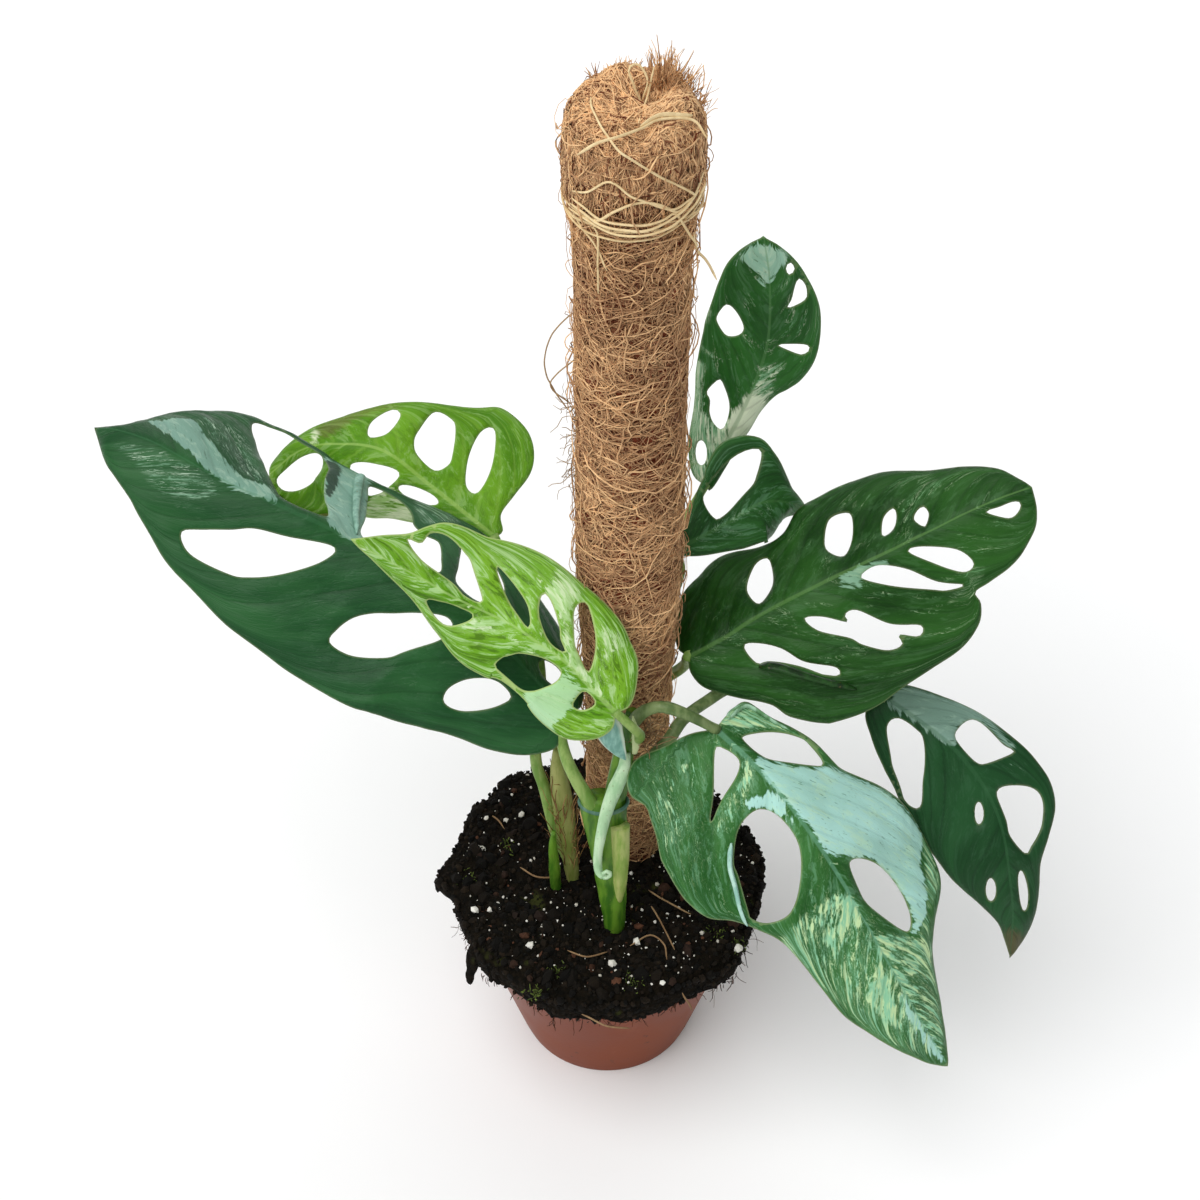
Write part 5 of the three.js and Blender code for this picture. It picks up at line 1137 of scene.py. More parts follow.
# Each curl: leaf, route (along, out, lift), radius at the start and end, arc in degrees, side it rolls
# towards, and its two colours
CURLS = [
    ("left_large", [(116, -49, 0.6), (115, -40, 0.2), (113, -29, 0), (110, -16, 0), (106, -5, 0)], 2.5, 1,
     (-60, 225), -1, (100, 142, 122), (142, 182, 164)),
    ("right_large", [(21, -17, 0), (28, -22, 0.2), (36, -29, 0.4), (44, -36, 0.3), (53, -43, 0)], 3.4, 2.2,
     (-10, 160), 1, (14, 40, 10), (34, 76, 26)),
    ("front", [(38, -26, 0), (46, -31.6, 0), (55, -34.6, 0), (64, -37.6, 0), (73, -39.4, 0)], 1.5, 1.3,
     (-20, 190), -1, (140, 186, 172), (186, 222, 208)),
    ("front", [(0.2, 6, 0), (-0.4, 11, 0), (1, 16.5, 0), (6, 18.6, 0), (13, 20, 0), (20, 22.4, 0)], 2, 0.8,
     (-40, 150), -1, (92, 140, 92), (168, 208, 178)),
    ("left_back", [(114, 9, 0), (114, 16, 0.4), (110, 24, 0.4), (102, 29.5, 0)], 1.3, 1,
     (-20, 180), -1, (92, 96, 44), (120, 140, 56)),
]
# Points on each curl's arc, and how thick the rolled edge is
ARC_POINTS = 11
CURL_THICKNESS = 0.5


def curl(number, leaf, route, first, last, arc, side, green, other):
    """A thin leaf edge that rises off the blade along the route and rolls over."""
    blade = Blade(LEAVES[leaf])
    curve = Curve(route)
    s = np.linspace(0, curve.length, max(10, int(curve.length / 1.2)))
    u, v, lift = curve.at(s).T
    normal = blade.normal(u, v)
    base = blade.place(u, v) + normal * (lift + 0.2)[:, None]
    ahead = unit(np.gradient(base, axis=0))
    across = unit(np.cross(normal, ahead)) * side
    t = s / curve.length
    radius = (first + (last - first) * t) * np.clip(np.minimum(t, 1 - t) * 7 + 0.4, 0, 1)
    turn = np.radians(np.linspace(*arc, ARC_POINTS))
    hub = (base + normal * radius[:, None])[:, None]
    rows = []
    for r, angles in ((radius, turn), (np.maximum(radius - CURL_THICKNESS, 0.1), turn[::-1])):
        way = -normal[:, None] * np.cos(angles)[:, None] + across[:, None] * np.sin(angles)[:, None]
        rows.append(hub + way * r[:, None, None])
    points = np.concatenate(rows, axis=1).reshape(-1, 3)
    shape = (points, capped_rings(len(s), 2 * ARC_POINTS))
    material = stalk_material(f"curl_{number}_green", green, other, 0.4)
    add(f"curled_edge_{number}", shape, material, LEAF_SLOTS[leaf])


for number, settings in enumerate(CURLS, 1):
    curl(number, *settings)


# Pot


def pot_wall(z):
    return POT["base"] + (POT["rim"] - POT["lip_proud"] - POT["base"]) * z / POT["height"]


def lathe(profile, sides):
    """A closed solid of revolution about Z from a profile that starts and ends on the axis."""
    inner = np.array(profile[1:-1], float)
    points = polar(inner[:, 0:1], around(sides), inner[:, 1:2]).reshape(-1, 3)
    points = np.vstack([points, [[0, 0, profile[0][1]], [0, 0, profile[-1][1]]]])
    return points, fanned_rings(len(inner), sides)


def drain_cutters():
    cutters = []
    for k in range(DRAIN["count"]):
        angle = 2 * math.pi * k / DRAIN["count"]
        x, y = DRAIN["ring"] * math.cos(angle), DRAIN["ring"] * math.sin(angle)
        ends = [(x, y, -3), (x, y, 6)]
        cutters.append(tube(ends, DRAIN["radius"], DRAIN["radius"], (1, 0, 0), DRAIN["sides"]))
    return joined(cutters)


def make_pot():
    height, base, rim, wall, proud = (POT[key] for key in ("height", "base", "rim", "wall", "lip_proud"))
    lip_foot = height - POT["lip"]
    at_lip = pot_wall(lip_foot)
    profile = [
        (0, 0), (base - 1, 0), (base - 0.3, 0.3), (base, 1),
        *[(pot_wall(z), z) for z in np.linspace(6, lip_foot - 0.8, 8)],
        (at_lip, lip_foot), (at_lip + proud * 0.8, lip_foot + 0.5), (at_lip + proud, lip_foot + 1.2),
        (rim, height - 0.6), (rim - 0.2, height - 0.2), (rim - 0.6, height),
        (pot_wall(height) - wall, height), (base - wall, POT["floor"]), (0, POT["floor"]),
    ]
    plastic = pot_material()
    piece = make("nursery_pot", *lathe(profile, POT["sides"]), plastic)
    tool = make("drain_tool", *drain_cutters(), plastic, smooth=False)
    cut = piece.modifiers.new("drains", "BOOLEAN")
    cut.operation, cut.solver, cut.object = "DIFFERENCE", "EXACT", tool
    apply_modifiers(piece)
    bpy.data.objects.remove(tool)
    sharp(piece, 40)
    return piece


def apply_modifiers(piece):
    graph = bpy.context.evaluated_depsgraph_get()
    done = bpy.data.meshes.new_from_object(piece.evaluated_get(graph))
    piece.modifiers.clear()
    old = piece.data
    piece.data = done
    bpy.data.meshes.remove(old)


def sharp(piece, degrees):
    """Smooth shading that stays crisp at edges over that many degrees."""
    piece.data.polygons.foreach_set("use_smooth", [True] * len(piece.data.polygons))
    piece.data.set_sharp_from_angle(angle=math.radians(degrees))


finish_piece(make_pot(), "pot", "pot")


# Soil


# Lumps of the soil's edge: direction in degrees, how far out and half width in degrees
SOIL_LUMPS = [
    (181, 6, 5), (172, 2.5, 9), (149, 3, 9), (128, 4, 12), (-139, 2.5, 8), (-109, 2.5, 10),
    (-84, 1.5, 7), (-42, 4, 10), (10, 2, 12), (60, 2.5, 14),
]
# The top: its radius, the low bank inside the rim, how rough it is, and its noise's scale, seed and layers
SOIL_TOP = dict(radius=60, bank=54, bank_width=8, bank_height=1.6, rough=1.25, rings=40)
SOIL_NOISE = (6, 11, 4)


def soil_reach(angle):
    degrees = np.degrees(angle)
    reach = np.full_like(angle, float(SOIL["reach"]))
    for where, out, width in SOIL_LUMPS:
        apart = np.abs((degrees - where + 540) % 360 - 180)
        reach += out * np.exp(-(apart / width) ** 2)
    return reach


def soil_skirt(angle):
    return SOIL["skirt"] + SOIL["front_skirt"] * np.maximum(0, -np.sin(angle)) ** 2


def soil_lift(radius):
    """How far the bank stands over the middle of the top."""
    off = (radius - SOIL_TOP["bank"]) / SOIL_TOP["bank_width"]
    return SOIL_TOP["bank_height"] * np.exp(-off ** 2)


def soil_shape():
    angle = around(SOIL["sectors"])
    reach, skirt = soil_reach(angle), soil_skirt(angle)
    height, lip = POT["height"], POT["rim"] + GAP
    foot = height - GAP
    rings = [(POT["base"] - POT["wall"] - GAP, POT["floor"] + GAP),
             (pot_wall(height) - POT["wall"] - GAP, height + GAP), (lip, height + GAP), (lip, foot - skirt)]
    outer = [(-1.2, foot - skirt), (-0.4, foot - skirt + 0.8), (0, foot - skirt + 2.2),
             (0.2, height - skirt / 2 + 2), (-0.3, height + 2.6), (-1.2, height + 4.2),
             (-2.6, height + SOIL["edge"])]
    rings += [(reach + out, z) for out, z in outer]
    for radius in np.linspace(SOIL_TOP["radius"], 1.6, SOIL_TOP["rings"]):
        share = radius / SOIL_TOP["radius"]
        rings.append((share * (reach - 2.6) * 0.985, SOIL["top"] + soil_lift(radius)))
    points = np.vstack([polar(r, angle, z) for r, z in rings])
    rough = layered_noise(points, *SOIL_NOISE)
    radius = np.hypot(points[:, 0], points[:, 1])
    outside = (radius > lip + 0.5) | (points[:, 2] > height + 1)
    points[:, 2] += np.where(outside & (points[:, 2] > height + 2), SOIL_TOP["rough"] * rough, 0)
    push = np.where(outside & (radius > lip + 0.5), 0.9 * layered_noise(points, 5, 4, 3), 0)
    points[:, :2] += push[:, None] * points[:, :2] / np.maximum(radius, 1)[:, None]
    points = np.vstack([points, [[0, 0, POT["floor"] + GAP], [0, 0, SOIL["top"]]]])
    return points, fanned_rings(len(rings), SOIL["sectors"])


SOIL_MIX = soil_material()
add("potting_mix", soil_shape(), SOIL_MIX, "soil", "soil")


def icosahedron():
    g = (1 + math.sqrt(5)) / 2
    points = unit(np.array([(-1, g, 0), (1, g, 0), (-1, -g, 0), (1, -g, 0), (0, -1, g), (0, 1, g),
                            (0, -1, -g), (0, 1, -g), (g, 0, -1), (g, 0, 1), (-g, 0, -1), (-g, 0, 1)],
                           float))
    faces = np.array([(0, 11, 5), (0, 5, 1), (0, 1, 7), (0, 7, 10), (0, 10, 11), (1, 5, 9), (5, 11, 4),
                      (11, 10, 2), (10, 7, 6), (7, 1, 8), (3, 9, 4), (3, 4, 2), (3, 2, 6), (3, 6, 8),
                      (3, 8, 9), (4, 9, 5), (2, 4, 11), (6, 2, 10), (8, 6, 7), (9, 8, 1)])
    return points, faces


def surface_spots(rng, count, inner=0.0, outer=1.0):
    """Random places on the soil's top, between two shares of its radius."""
    angle = rng.uniform(0, 2 * math.pi, count)
    share = np.sqrt(rng.uniform(inner ** 2, outer ** 2, count))
    top = SOIL["top"] + soil_lift(share * SOIL_TOP["radius"])
    spots = polar((soil_reach(angle) - 2.5) * share, angle, top)
    spots[:, 2] = top + SOIL_TOP["rough"] * layered_noise(spots, *SOIL_NOISE)
    return spots


def edge_spots(rng, count):
    """Random places on the soil's outer edge."""
    angle = rng.uniform(0, 2 * math.pi, count)
    z = rng.uniform(POT["height"] - soil_skirt(angle) + 0.4, POT["height"] + SOIL["edge"])
    return polar(soil_reach(angle) - 0.4, angle, z)


def scatter(name, rng, spots, sizes, flatten, material, tones):
    """Rough little lumps at the spots, each turned, squashed and toned at random."""
    shape, faces = icosahedron()
    count, corners = len(spots), len(shape)
    spin, _ = np.linalg.qr(rng.normal(size=(count, 3, 3)))
    stretch = rng.uniform(1 - flatten, 1 + flatten * 0.4, (count, 1, 3))
    rough = 1 + rng.uniform(-0.22, 0.22, (count, corners, 1))
    lumps = (shape[None] * rough * stretch) @ spin * sizes[:, None, None] + spots[:, None]
    all_faces = (faces[None] + (np.arange(count) * corners)[:, None, None]).reshape(-1, 3)
    add(name, (lumps.reshape(-1, 3), all_faces.tolist()), material, "soil",
        values=dict(tone=np.repeat(tones, corners)), smooth=False)


CRUMB = grain_material("soil_crumb", (34, 25, 14), (5, 4, 2), 0.95)
PERLITE = grain_material("perlite", (240, 238, 230), (186, 180, 166), 0.8)
BARK = grain_material("bark_bits", (92, 58, 40), (30, 20, 14), 0.85)

# Grains in the order they are drawn: their number, where they lie and how far up, the scale, least and
# greatest of their sizes, how flat they are, and their tones' limits and power
GRAINS = {
    "soil_crumbs": dict(count=3800, up=0, size=(0.34, 0.35, 2), flatten=0.45, material=CRUMB,
                        tone=(0, 1), power=2),
    "soil_lumps": dict(count=520, up=-0.6, size=(0.8, 1.2, 3.8), flatten=0.4, material=CRUMB,
                       tone=(0, 0.8), power=2),
    "edge_crumbs": dict(count=1700, where=edge_spots, up=0, size=(0.38, 0.35, 2), flatten=0.45,
                        material=CRUMB, tone=(0, 1), power=2),
    "perlite_grains": dict(count=460, band=(0.1, 0.97), up=0.4, size=(0.17, 0.24, 1.1), flatten=0.25,
                           material=PERLITE, tone=(0.1, 1), power=1),
    "bark_bits": dict(count=190, up=0.2, size=(0.5, 0.7, 3), flatten=0.85, material=BARK,
                      tone=(0, 1), power=1.5),
}
LARGE_PERLITE = [(2, -47), (22, -56), (-54, -20), (-48, -20), (-31, -38), (53, -39), (34, -4), (12, -36),
                 (-52, 12), (-36, 30)]


def grains(name, rng, count, up, size, flatten, material, tone, power, where=surface_spots, band=()):
    spots = where(rng, count, *band) + (0, 0, up)
    scale, least, greatest = size
    sizes = rng.gamma(2.4, scale, count).clip(least, greatest)
    scatter(name, rng, spots, sizes, flatten, material, rng.uniform(*tone, count) ** power)


rng = np.random.default_rng(7)
for piece_name, settings in GRAINS.items():
    grains(piece_name, rng, **settings)
large_spots = np.array([(x, y, 92) for x, y in LARGE_PERLITE], float)
scatter("large_perlite", rng, large_spots, rng.uniform(1.3, 2, len(large_spots)), 0.2, PERLITE,
        rng.uniform(0.5, 1, len(large_spots)))


def strand(route, wide, deep, wobble, seed, side=(0, 0, 1)):
    """A thin strand along a route, narrower at its ends and a little wavy."""
    curve = Curve(route)
    s = np.linspace(0, curve.length, max(8, int(curve.length / 1.5)))
    centres = curve.at(s)
    centres = centres + wobble * np.stack([value_noise(centres, 6, seed + k) for k in range(3)], -1)
    taper = np.clip(np.minimum(s, curve.length - s) / 2, 0.35, 1)
    return tube(centres, wide * taper, deep * taper, side, 8)


def toned(name, parts, material, slot, *nodes, tone, vary, noise):
    """Several (points, faces) as one piece, whose tone varies by soft noise of a scale, seed and layers."""
    points, faces = joined(parts)
    tones = tone + vary * layered_noise(points, *noise)
    add(name, (points, faces), material, slot, *nodes, values=dict(tone=tones))


def thin_tubes(paths, radius):
    """Closed three-sided tubes along many paths at once; paths is (tubes, steps, 3)."""
    count, steps, _ = paths.shape
    ahead = unit(np.gradient(paths, axis=1))
    helper = np.where(np.abs(ahead[..., 2:3]) < 0.9, (0.0, 0.0, 1.0), (1.0, 0.0, 0.0))
    across = unit(np.cross(helper, ahead))
    through = np.cross(ahead, across)
    turn = np.arange(3) * 2 * math.pi / 3
    taper = np.sin(np.linspace(0.25, math.pi - 0.25, steps)) ** 0.3
    thick = np.asarray(radius)[:, None, None, None] * taper[None, :, None, None]
    points = (paths[:, :, None] + across[:, :, None] * np.cos(turn)[:, None] * thick
              + through[:, :, None] * np.sin(turn)[:, None] * thick)
    i, k = np.meshgrid(np.arange(steps - 1), np.arange(3), indexing="ij")
    a, b = i * 3 + k, i * 3 + (k + 1) % 3
    quads = np.stack([a, b, b + 3, a + 3], -1).reshape(-1, 4)
    tris = np.concatenate([quads[:, [0, 1, 2]], quads[:, [0, 2, 3]],
                           [[2, 1, 0], [steps * 3 - 3, steps * 3 - 2, steps * 3 - 1]]])
    faces = (tris[None] + (np.arange(count) * steps * 3)[:, None, None]).reshape(-1, 3)
    return points.reshape(-1, 3), faces


def thin_piece(name, paths, radius, material, slot, tones):
    points, faces = thin_tubes(paths, radius)
    values = dict(tone=np.repeat(tones, paths.shape[1] * 3))
    add(name, (points, faces.tolist()), material, slot, values=values)


def walks(rng, starts, heading, length, steps, bend):
    """Paths that start at the places, set off along the headings and wander."""
    heading = unit(heading)
    step = np.asarray(length)[:, None] / (steps - 1)
    paths = [starts]
    for _ in range(steps - 1):
        heading = unit(heading + rng.normal(0, bend, heading.shape))
        paths.append(paths[-1] + heading * step)
    return np.stack(paths, 1)


def hairs(name, rng, roots, headings, lengths, steps, bend, thick, material, slot, tones=(0, 1)):
    """Hairs that wander from their roots, with thickness and tone drawn between two limits."""
    paths = walks(rng, roots, headings, lengths, steps, bend)
    radius = rng.uniform(*thick, len(roots))
    thin_piece(name, paths, radius, material, slot, rng.uniform(*tones, len(roots)))


MOSS_SPOTS = [(-29, -61), (12, -54), (9, -57), (53, -38), (-42, 14), (34, -4), (-57, -4), (44, -30),
              (-20, -50)]
MOSS = grain_material("moss", (108, 124, 54), (44, 56, 22), 0.9)
MOSS_HAIRS = 34


def moss_tufts(rng):
    middles = np.repeat(np.array([(x, y, 91.2) for x, y in MOSS_SPOTS]), MOSS_HAIRS, axis=0)
    roots = middles + rng.normal(0, 1, middles.shape) * (1.9, 1.9, 0.3)
    headings = UP + rng.normal(0, 0.7, roots.shape)
    hairs("moss_tufts", rng, roots, headings, rng.uniform(0.8, 2.4, len(roots)), 4, 0.3, (0.16, 0.34),
          MOSS, "soil")


moss_tufts(rng)

# Loose roots that lie on the soil and hang over its edge
SOIL_ROOTS = [
    [(17, -10, 92), (25, -17, 93), (34, -22, 92)],
    [(17, -17, 92), (22, -27, 93.5), (27, -40, 92)],
    [(-49, 30, 92), (-46, 26, 93.4), (-43, 22, 92)],
    [(9, -38, 92), (17, -33, 92.8), (23, -38, 93), (24, -45, 92)],
    [(-16, -40, 92), (-8, -44, 93), (0, -41, 92)],
    [(-10, -66, 84), (0, -67, 78), (9, -66, 75)],
    [(30, -59, 89), (33, -60, 82), (34, -59, 77)],
    [(-36, 2, 92), (-28, -4, 93), (-19, -3, 92)],
]
ROOT = grain_material("pale_root", (176, 146, 108), (104, 76, 50), 0.8)
toned("soil_roots", [strand(route, 0.42, 0.34, 0.4, seed) for seed, route in enumerate(SOIL_ROOTS, 3)],
      ROOT, "soil", tone=0.5, vary=0.4, noise=(8, 2, 1))


def edge_hairs(rng, count):
    """Hairs that hang from the front of the soil's edge."""
    angle = np.radians(rng.uniform(-165, -20, count))
    radius = soil_reach(angle) + rng.uniform(-1, 0.6, count)
    roots = polar(radius, angle, POT["height"] - soil_skirt(angle) + rng.uniform(-0.2, 3, count))
    headings = polar(0.3, angle, -1.0)
    headings += rng.normal(0, 0.4, headings.shape)
    hairs("edge_hairs", rng, roots, headings, rng.gamma(3, 1.2, count).clip(1.5, 9), 6, 0.25, (0.1, 0.22),
          BARK, "soil")


def stem_fibres(rng, count):
    """Old brown fibres that stand close round the left stem."""
    turn = rng.uniform(0, 2 * math.pi, count)
    up_stem = rng.uniform(0, 1, count)
    roots = np.stack([-14.5 - 4 * up_stem + 3.7 * np.cos(turn), -2.5 - 3 * up_stem + 3.2 * np.sin(turn),
                      100 + 44 * up_stem], -1)
    headings = np.array([-0.05, 0, 1.0]) + rng.normal(0, 0.16, (count, 3))
    hairs("stem_fibres", rng, roots, headings, rng.uniform(6, 22, count), 7, 0.1, (0.12, 0.28),
          FIBRE_BROWN, "stem")


def stalk_tangle(rng, count):
    """A knot of fibres where the stalks leave the front stem."""
    roots = np.array([15.5, -13.5, 191]) + rng.normal(0, 1, (count, 3)) * (2.6, 1.4, 3.4)
    headings = rng.normal(0, 1, (count, 3)) * (0.7, 0.3, 1)
    hairs("stalk_tangle", rng, roots, headings, rng.uniform(5, 14, count), 8, 0.35, (0.14, 0.3),
          ROOT, "stem")


FIBRE_BROWN = grain_material("stem_fibres", (178, 142, 92), (112, 78, 46), 0.85)
edge_hairs(rng, 170)
stem_fibres(rng, 130)
stalk_tangle(rng, 46)

CLOD = [((-51, -35, 87), 4.2, 3), ((-54, -37, 81), 3.4, 2.4), ((-55.6, -38.4, 75), 1.9, 1.6),
        ((-56, -39, 69.5), 0.9, 0.8), ((-56, -39, 67), 0.4, 0.4)]
add("hanging_clod", rings_tube(CLOD, (1, -0.6, 0), 14, 1.2, 0.8, 6), SOIL_MIX, "soil", smooth=False)


# Coir


def sleeve_radius(z):
    heights, radii = zip(*SLEEVE)
    return np.interp(z, heights, radii)


# The folded top: height at each distance from the pole's middle, then mounds and hollows as centre, width
# and height, and the place that its fibres are gathered to
CROWN_PROFILE = ((0, 8, 14, 18, 20.5, 22.2, 23, 23.4), (460.5, 460.5, 460, 458.6, 456, 452, 446, 438))
CROWN = [(-3, 24, 7, 3.6), (24, 17, 5.5, 4.4), (4, 35, 5, 3.4), (19, 34, 4, 3), (9.4, 5, 4, -5),
         (13, 24, 4.4, -6.5)]
GATHER = np.array([9.4, 5.5])


def crown(x, y):
    """The height of the folded top over each place."""
    z = np.interp(np.hypot(x - POLE["x"], y - POLE["y"]), *CROWN_PROFILE)
    for mx, my, width, height in CROWN:
        z = z + height * np.exp(-((x - mx) ** 2 + (y - my) ** 2) / width ** 2)
    return z


# The matted body under the loose fibres: how far inside them it lies, the height where its side ends, and
# the radii of the rings over its top
MAT = dict(inset=1.5, side_top=441, step=3.0, top_inset=1.2)
MAT_TOP_RADII = (21.9, 21.6, 21, 20, 18.5, 16.5, 14, 11, 8, 5, 2)


def make_mat():
    angle = around(POLE["sectors"])
    heights = np.arange(POLE["foot"], MAT["side_top"], MAT["step"])
    rings = [polar(r, angle, z) for r, z in zip(sleeve_radius(heights) - MAT["inset"], heights)]
    for r in MAT_TOP_RADII:
        over = polar(r + MAT["top_inset"], angle, 0, POLE_CENTRE)
        rings.append(polar(r, angle, crown(over[:, 0], over[:, 1]) - 1))
    points = np.vstack(rings)
    radius = np.hypot(points[:, 0], points[:, 1])[:, None]
    push = 0.7 * layered_noise(points, 9, 21, 3)
    points[:, :2] += points[:, :2] / radius * push[:, None] * np.clip(radius / 16, 0, 1)
    points[:, 2] += np.where(points[:, 2] > 446, push, 0)
    points += (*POLE_CENTRE, 0)
    # The mat's tone stays near the dark end, so it shows dark in the gaps between the loose fibres: painted
    # shade
    tone = 0.2 * layered_noise(points, 5, 8)
    shape = (points, capped_rings(len(rings), POLE["sectors"]))
    add("coir_mat", shape, COIR, "coir", "coir_sleeve", values=dict(tone=tone))


def coir_fibres(name, rng, count, low, high):
    """Loose fibres that wander over the sleeve between two heights, some of them standing well off it."""
    steps = 7
    start_angle = rng.uniform(0, 2 * math.pi, count)
    start_z = rng.uniform(low, high, count)
    length = rng.gamma(3.5, 7, count).clip(8, 58)
    flow = value_noise(np.stack([start_z, 20 * np.cos(start_angle), 20 * np.sin(start_angle)], -1), 17, 6)
    heading = 1.5 * flow + rng.normal(0.2, 0.75, count) + np.where(rng.random(count) < 0.5, math.pi, 0)
    bend = rng.normal(0, 1.5, count)
    t = np.linspace(-0.5, 0.5, steps)
    turn = heading[:, None] + bend[:, None] * t + rng.normal(0, 0.3, (count, steps))
    step = length[:, None] / (steps - 1)
    z = start_z[:, None] + np.cumsum(np.sin(turn) * step, axis=1)
    foot, head = low - 12, min(high + 12, 455)
    z = foot + np.abs(head - np.abs(head - z) - foot)
    radius = sleeve_radius(z)
    angle = start_angle[:, None] + np.cumsum(np.cos(turn) * step, axis=1) / radius
    loose = rng.random(count) < 0.07
    stand = np.where(loose, rng.uniform(1, 3.6, count), rng.uniform(-0.6, 0.5, count))
    depth = rng.uniform(0, 1, count)
    radius = radius + stand[:, None] * np.sin(np.linspace(0, math.pi, steps)) + (1.3 * depth - 1.5)[:, None]
    paths = polar(radius, angle, z, POLE_CENTRE)
    thick = np.where(rng.random(count) < 0.34, rng.uniform(0.24, 0.4, count), rng.uniform(0.12, 0.22, count))
    patch = 0.3 * layered_noise(paths[:, 3], 22, 4)
    # Tone varies at random and by patch; fibres deeper in the mat are darker, painted shade, and fibres
    # standing well off it are kept light, painted light
    tones = np.clip(rng.normal(0.25, 0.24, count) + 0.5 * depth + patch, np.where(stand > 0.2, 0.45, 0), 1)
    thin_piece(name, paths, thick, COIR, "coir", tones)


def folded_fibres(name, rng, count, steps=9, edge_radius=23.3):
    """Fibres that come up the pole's side and are drawn over its edge to the gathered place."""
    angle = rng.uniform(0, 2 * math.pi, count)
    edge = polar(edge_radius, angle, 0, POLE_CENTRE)[:, :2]
    goal = GATHER + rng.normal(0, 1, (count, 2)) * (4.5, 3)
    way = goal - edge
    across = np.linalg.norm(way, axis=1)
    start = rng.uniform(-24, 8, count)
    reach = np.minimum(rng.gamma(4, 7.5, count).clip(12, 60), across - start)
    run = start[:, None] + reach[:, None] * np.linspace(0, 1, steps)
    side = unit(np.stack([-way[:, 1], way[:, 0]], -1))
    share = np.clip(run / across[:, None], 0, 1)
    bow = rng.normal(0, 6.5, count)[:, None] * np.sin(math.pi * np.linspace(0, 1, steps))
    bow = bow + np.cumsum(rng.normal(0, 1.4, (count, steps)), axis=1)
    flat = edge[:, None] + way[:, None] * share[..., None] + side[:, None] * bow[..., None]
    out = flat - POLE_CENTRE
    rho = np.linalg.norm(out, axis=-1, keepdims=True)
    flat = POLE_CENTRE + out / rho * np.minimum(rho, edge_radius)
    depth = rng.uniform(0, 1, count)[:, None]
    z = crown(flat[..., 0], flat[..., 1])
    z = np.where(run < 0, np.minimum(z, 452) + np.minimum(run + 8, 0), z) + 1.6 * depth - 0.6
    paths = np.concatenate([flat, z[..., None]], -1) + rng.normal(0, 0.3, (count, steps, 3))
    # Tone varies at random, and fibres lower in the fold are darker: painted shade under the fibres above
    tones = np.clip(rng.normal(0.4, 0.34, count) + 0.5 * depth[:, 0], 0, 1)
    thin_piece(name, paths, rng.uniform(0.13, 0.36, count), COIR, "coir", tones)


# Clumps that stick up from the top: foot, lean, length, spread, number of fibres and tone
TUFTS = [
    ((16.5, 30, 453), (0.02, 0), 19, 1.5, 130, 0.66), ((19, 31, 453), (0.1, 0), 15, 1.4, 70, 0.72),
    ((24, 32, 451), (0.4, 0.1), 11, 2, 60, 0.75), ((27, 28, 450), (0.7, 0), 7, 1.6, 40, 0.7),
    ((21, 33, 453), (0.2, 0.1), 13, 1.8, 50, 0.7), ((-4, 30, 459), (-0.1, 0), 10, 0.7, 9, 0.5),
    ((5, 36, 457), (0, 0.2), 6, 2.4, 60, 0.7), ((0, 35, 457), (-0.1, 0.2), 5, 2, 40, 0.7),
    ((10, 36, 456), (0.1, 0.1), 6, 2, 40, 0.7), ((13, 26, 452), (0, 0), 8, 1.6, 30, 0.5),
]
TUFT_TOP = 473


def tufts(name, rng):
    roots, headings, lengths, tones = [], [], [], []
    for foot, lean, length, spread, count, tone in TUFTS:
        roots.append(foot + rng.normal(0, 1, (count, 3)) * (spread, spread, 1))
        headings.append((*lean, 1) + rng.normal(0, 0.1, (count, 3)))
        lengths.append(length * rng.uniform(0.5, 1.1, count))
        tones.append(np.clip(rng.normal(tone, 0.2, count), 0, 1))
    roots, headings, lengths, tones = map(np.concatenate, (roots, headings, lengths, tones))
    paths = walks(rng, roots, headings, lengths, 8, 0.12)
    paths[..., 2] = np.minimum(paths[..., 2], TUFT_TOP)
    thin_piece(name, paths, rng.uniform(0.11, 0.24, len(roots)), COIR, "coir", tones)


# The heights of the four bands of fibres, and how many each band and the folded top have
FIBRE_BANDS = [(84, 180), (180, 275), (275, 368), (368, 452)]
BAND_FIBRES, TOP_FIBRES = 3150, 2900
COIR = coir_material("coir", (255, 210, 156), (114, 50, 24))
make_mat()
rng = np.random.default_rng(19)
fibre_share = 1.0
for band, (low, high) in enumerate(FIBRE_BANDS, 1):
    coir_fibres(f"coir_fibres_{band}", rng, int(BAND_FIBRES * fibre_share), low, high)
folded_fibres("coir_folded_top", rng, int(TOP_FIBRES * fibre_share))
tufts("coir_tufts", rng)


# Raffia


def raffia_turn(height, tilt, radius, highest, half_height, seed):
    """One turn round the pole's neck, tilted towards its highest side in degrees."""
    angle = around(90)
    z = height + tilt * np.cos(angle - math.radians(highest))
    centres = polar(radius, angle, z, POLE_CENTRE)
    centres[:, 2] += 0.9 * value_noise(centres, 9, seed)
    return ribbon(centres, 0.4, half_height, POLE_CENTRE, 8)


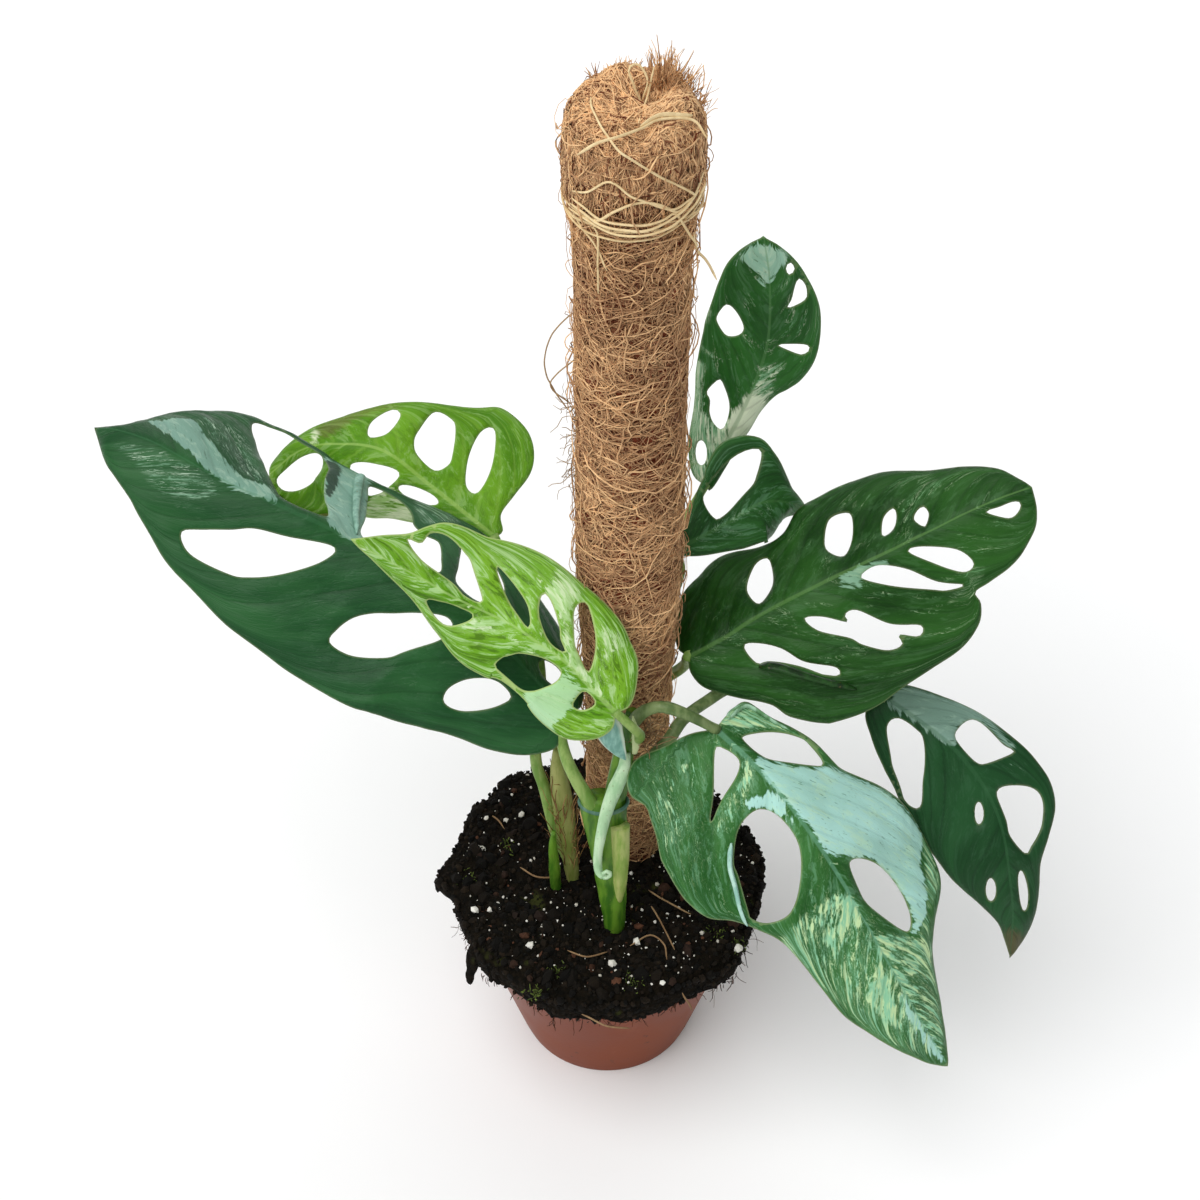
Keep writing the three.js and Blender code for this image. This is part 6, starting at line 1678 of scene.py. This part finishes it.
# Strands round the pole's neck and over its top
RAFFIA_STRANDS = [
    [(-12, 7, 428), (-4, 0, 428), (2, -2.7, 434), (10, -3.4, 438), (16, -2.2, 436), (22, 1, 431),
     (27, 6, 433), (31, 14, 438)],
    [(-12, 7, 432), (-8, 3, 431), (-3, -0.8, 429), (3, -3, 429), (11, -3.6, 429), (17.5, -1.8, 430),
     (21, 0.2, 431), (23.5, 2, 426), (26.5, 4.8, 418), (29.3, 9, 411)],
    [(-12.5, 7, 430), (-8, 2.6, 429), (-3, -1, 427), (3, -3.3, 427), (11, -4, 427), (18, -1.8, 428.5),
     (24, 2, 431), (29, 8, 434)],
    [(-13, 8, 427.5), (-8, 2.8, 427), (-2, -1.4, 425.4), (4, -3.6, 425), (12, -4, 425.4), (20, -1.4, 427),
     (27, 4.6, 430), (31, 12, 434)],
    [(-12, 8, 434), (-7, 2, 438), (0, -2.2, 445), (6, -3.4, 441), (10, -3.5, 439), (20, -0.5, 433),
     (27.7, 6.4, 433)],
    [(-6, 2.2, 424), (-4, 0.6, 423), (-3.6, 0.3, 415), (-3.6, 0.3, 398)],
    [(-11.4, 9, 424), (-8.3, 4.6, 421), (-4.7, 1.6, 417), (-0.5, -0.4, 408)],
    [(-5.4, 23, 462), (-5.4, 13, 462), (1.6, -2.6, 459), (8, -3.6, 454), (15, -2.4, 448), (25.4, 3.8, 437),
     (27.6, 6.4, 433)],
    [(-10, 0, 454), (-4, -1, 459), (2, 0, 460.5), (9.6, 4, 461), (16, 7.5, 462), (26, 10, 460), (31, 7, 455)],
    [(9.6, 4.6, 461.5), (16, 8.2, 463), (26, 11, 461)],
    [(9, 19, 452), (10, 20, 459), (8, 21, 464), (6, 22, 470), (9, 23, 471.5), (12, 22, 466), (10.5, 20, 460)],
    [(14, 24, 470), (12.5, 21, 463), (10.7, 15, 461), (9, 8, 460)],
    [(27.7, 12, 414), (29.4, 18, 402), (32.5, 19, 397), (36.4, 18, 389)],
]
RAFFIA_WIDTHS = [0.5, 0.45, 0.5, 0.45, 0.4, 0.35, 0.35, 0.42, 0.55, 0.9, 0.45, 0.45, 0.5]
# Each turn: height, tilt, radius, highest side in degrees, half height and seed
RAFFIA_TURNS = [(421, 4, 23, 270, 0.6, 2), (423, 5, 23, 262, 0.4, 5), (427.6, 7, 23.4, 66, 0.35, 7)]
RAFFIA = grain_material("raffia", (252, 230, 182), (206, 174, 122), 0.7, 500)
toned("raffia_windings", [raffia_turn(*turn) for turn in RAFFIA_TURNS], RAFFIA, "raffia", "raffia_tie",
      tone=0.6, vary=0.3, noise=(7, 5, 3))
toned("raffia_strands", [strand(route, wide, 0.35, 0.25, seed) for seed, (route, wide) in
                         enumerate(zip(RAFFIA_STRANDS, RAFFIA_WIDTHS))],
      RAFFIA, "raffia", tone=0.65, vary=0.3, noise=(6, 3, 3))


# Roots that stand off the pole's left side

AIR_ROOTS = [
    [(-11, 21, 374), (-19.4, 22, 362), (-22, 23, 349), (-19.8, 24, 336), (-14, 23, 326)],
    [(-11, 22, 352), (-18, 22, 344), (-20, 24, 336), (-13, 24, 328)],
]
toned("air_roots", [strand(route, 0.28, 0.26, 0.5, seed, (1, 0.3, 0))
                    for seed, route in enumerate(AIR_ROOTS)],
      ROOT, "stem", tone=1, vary=0.2, noise=(8, 2, 1))


def air_root_hairs(rng, count):
    roots = np.stack([np.full(count, -10.5), rng.uniform(14, 26, count), rng.uniform(296, 334, count)], -1)
    headings = np.array([-1, 0, 0]) + rng.normal(0, 0.6, (count, 3))
    hairs("air_root_hairs", rng, roots, headings, rng.uniform(5, 15, count), 9, 0.4, (0.1, 0.2),
          ROOT, "stem", (0.6, 1))


air_root_hairs(rng, 46)


# The stake keeps its solid and gets a wooden finish

STAKE = grain_material("stake_wood", (176, 140, 96), (120, 90, 58), 0.75, 300)
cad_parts["pole_stake"].data.materials.clear()
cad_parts["pole_stake"].data.materials.append(STAKE)


# Floor, light and camera


# How far the floor reaches, in mm. The places below are in metres and the camera's tilt is in degrees.
FLOOR_REACH = 6000
WINDOW = np.array((0.2, 1.6, 1.5))
LIT_PLACE = np.array((0, 0, 0.2))
CAMERA = dict(place=(-0.0029, -0.6657, 0.9426), tilt=44, lens=78, sensor=36)


def floor():
    made = Shader("floor", 0.9)
    made.surface.inputs["Base Color"].default_value = (0.95, 0.95, 0.95, 1)
    points = [(x * FLOOR_REACH, y * FLOOR_REACH, 0) for x, y in ((-1, -1), (1, -1), (1, 1), (-1, 1))]
    make("floor", points, [(0, 1, 2, 3)], made.material, smooth=False)


def light(name, kind, towards, place=(0, 0, 0), **settings):
    lamp = bpy.data.lights.new(name, kind)
    for key, value in settings.items():
        setattr(lamp, key, value)
    holder = bpy.data.objects.new(name, lamp)
    bpy.context.collection.objects.link(holder)
    holder.location = place
    holder.rotation_mode = "QUATERNION"
    holder.rotation_quaternion = Vector(towards).to_track_quat("-Z", "Y")


def sky(strength):
    world = bpy.data.worlds.new("sky")
    world.use_nodes = True
    background = world.node_tree.nodes["Background"]
    background.inputs["Color"].default_value = (1, 1, 1, 1)
    background.inputs["Strength"].default_value = strength
    bpy.context.scene.world = world


def camera():
    view = bpy.data.cameras.new("camera")
    view.lens, view.sensor_width = CAMERA["lens"], CAMERA["sensor"]
    holder = bpy.data.objects.new("camera", view)
    bpy.context.collection.objects.link(holder)
    holder.location = CAMERA["place"]
    holder.rotation_euler = (math.radians(CAMERA["tilt"]), 0, 0)
    bpy.context.scene.camera = holder


floor()
sky(0.4)
bpy.context.scene.view_settings.view_transform = "Standard"
light("sun", "SUN", (0.5, 0.4, -1.0), energy=2.3, angle=math.radians(60))
light("window", "AREA", LIT_PLACE - WINDOW, WINDOW, energy=11, size=2.2, color=(0.93, 0.97, 1))
camera()
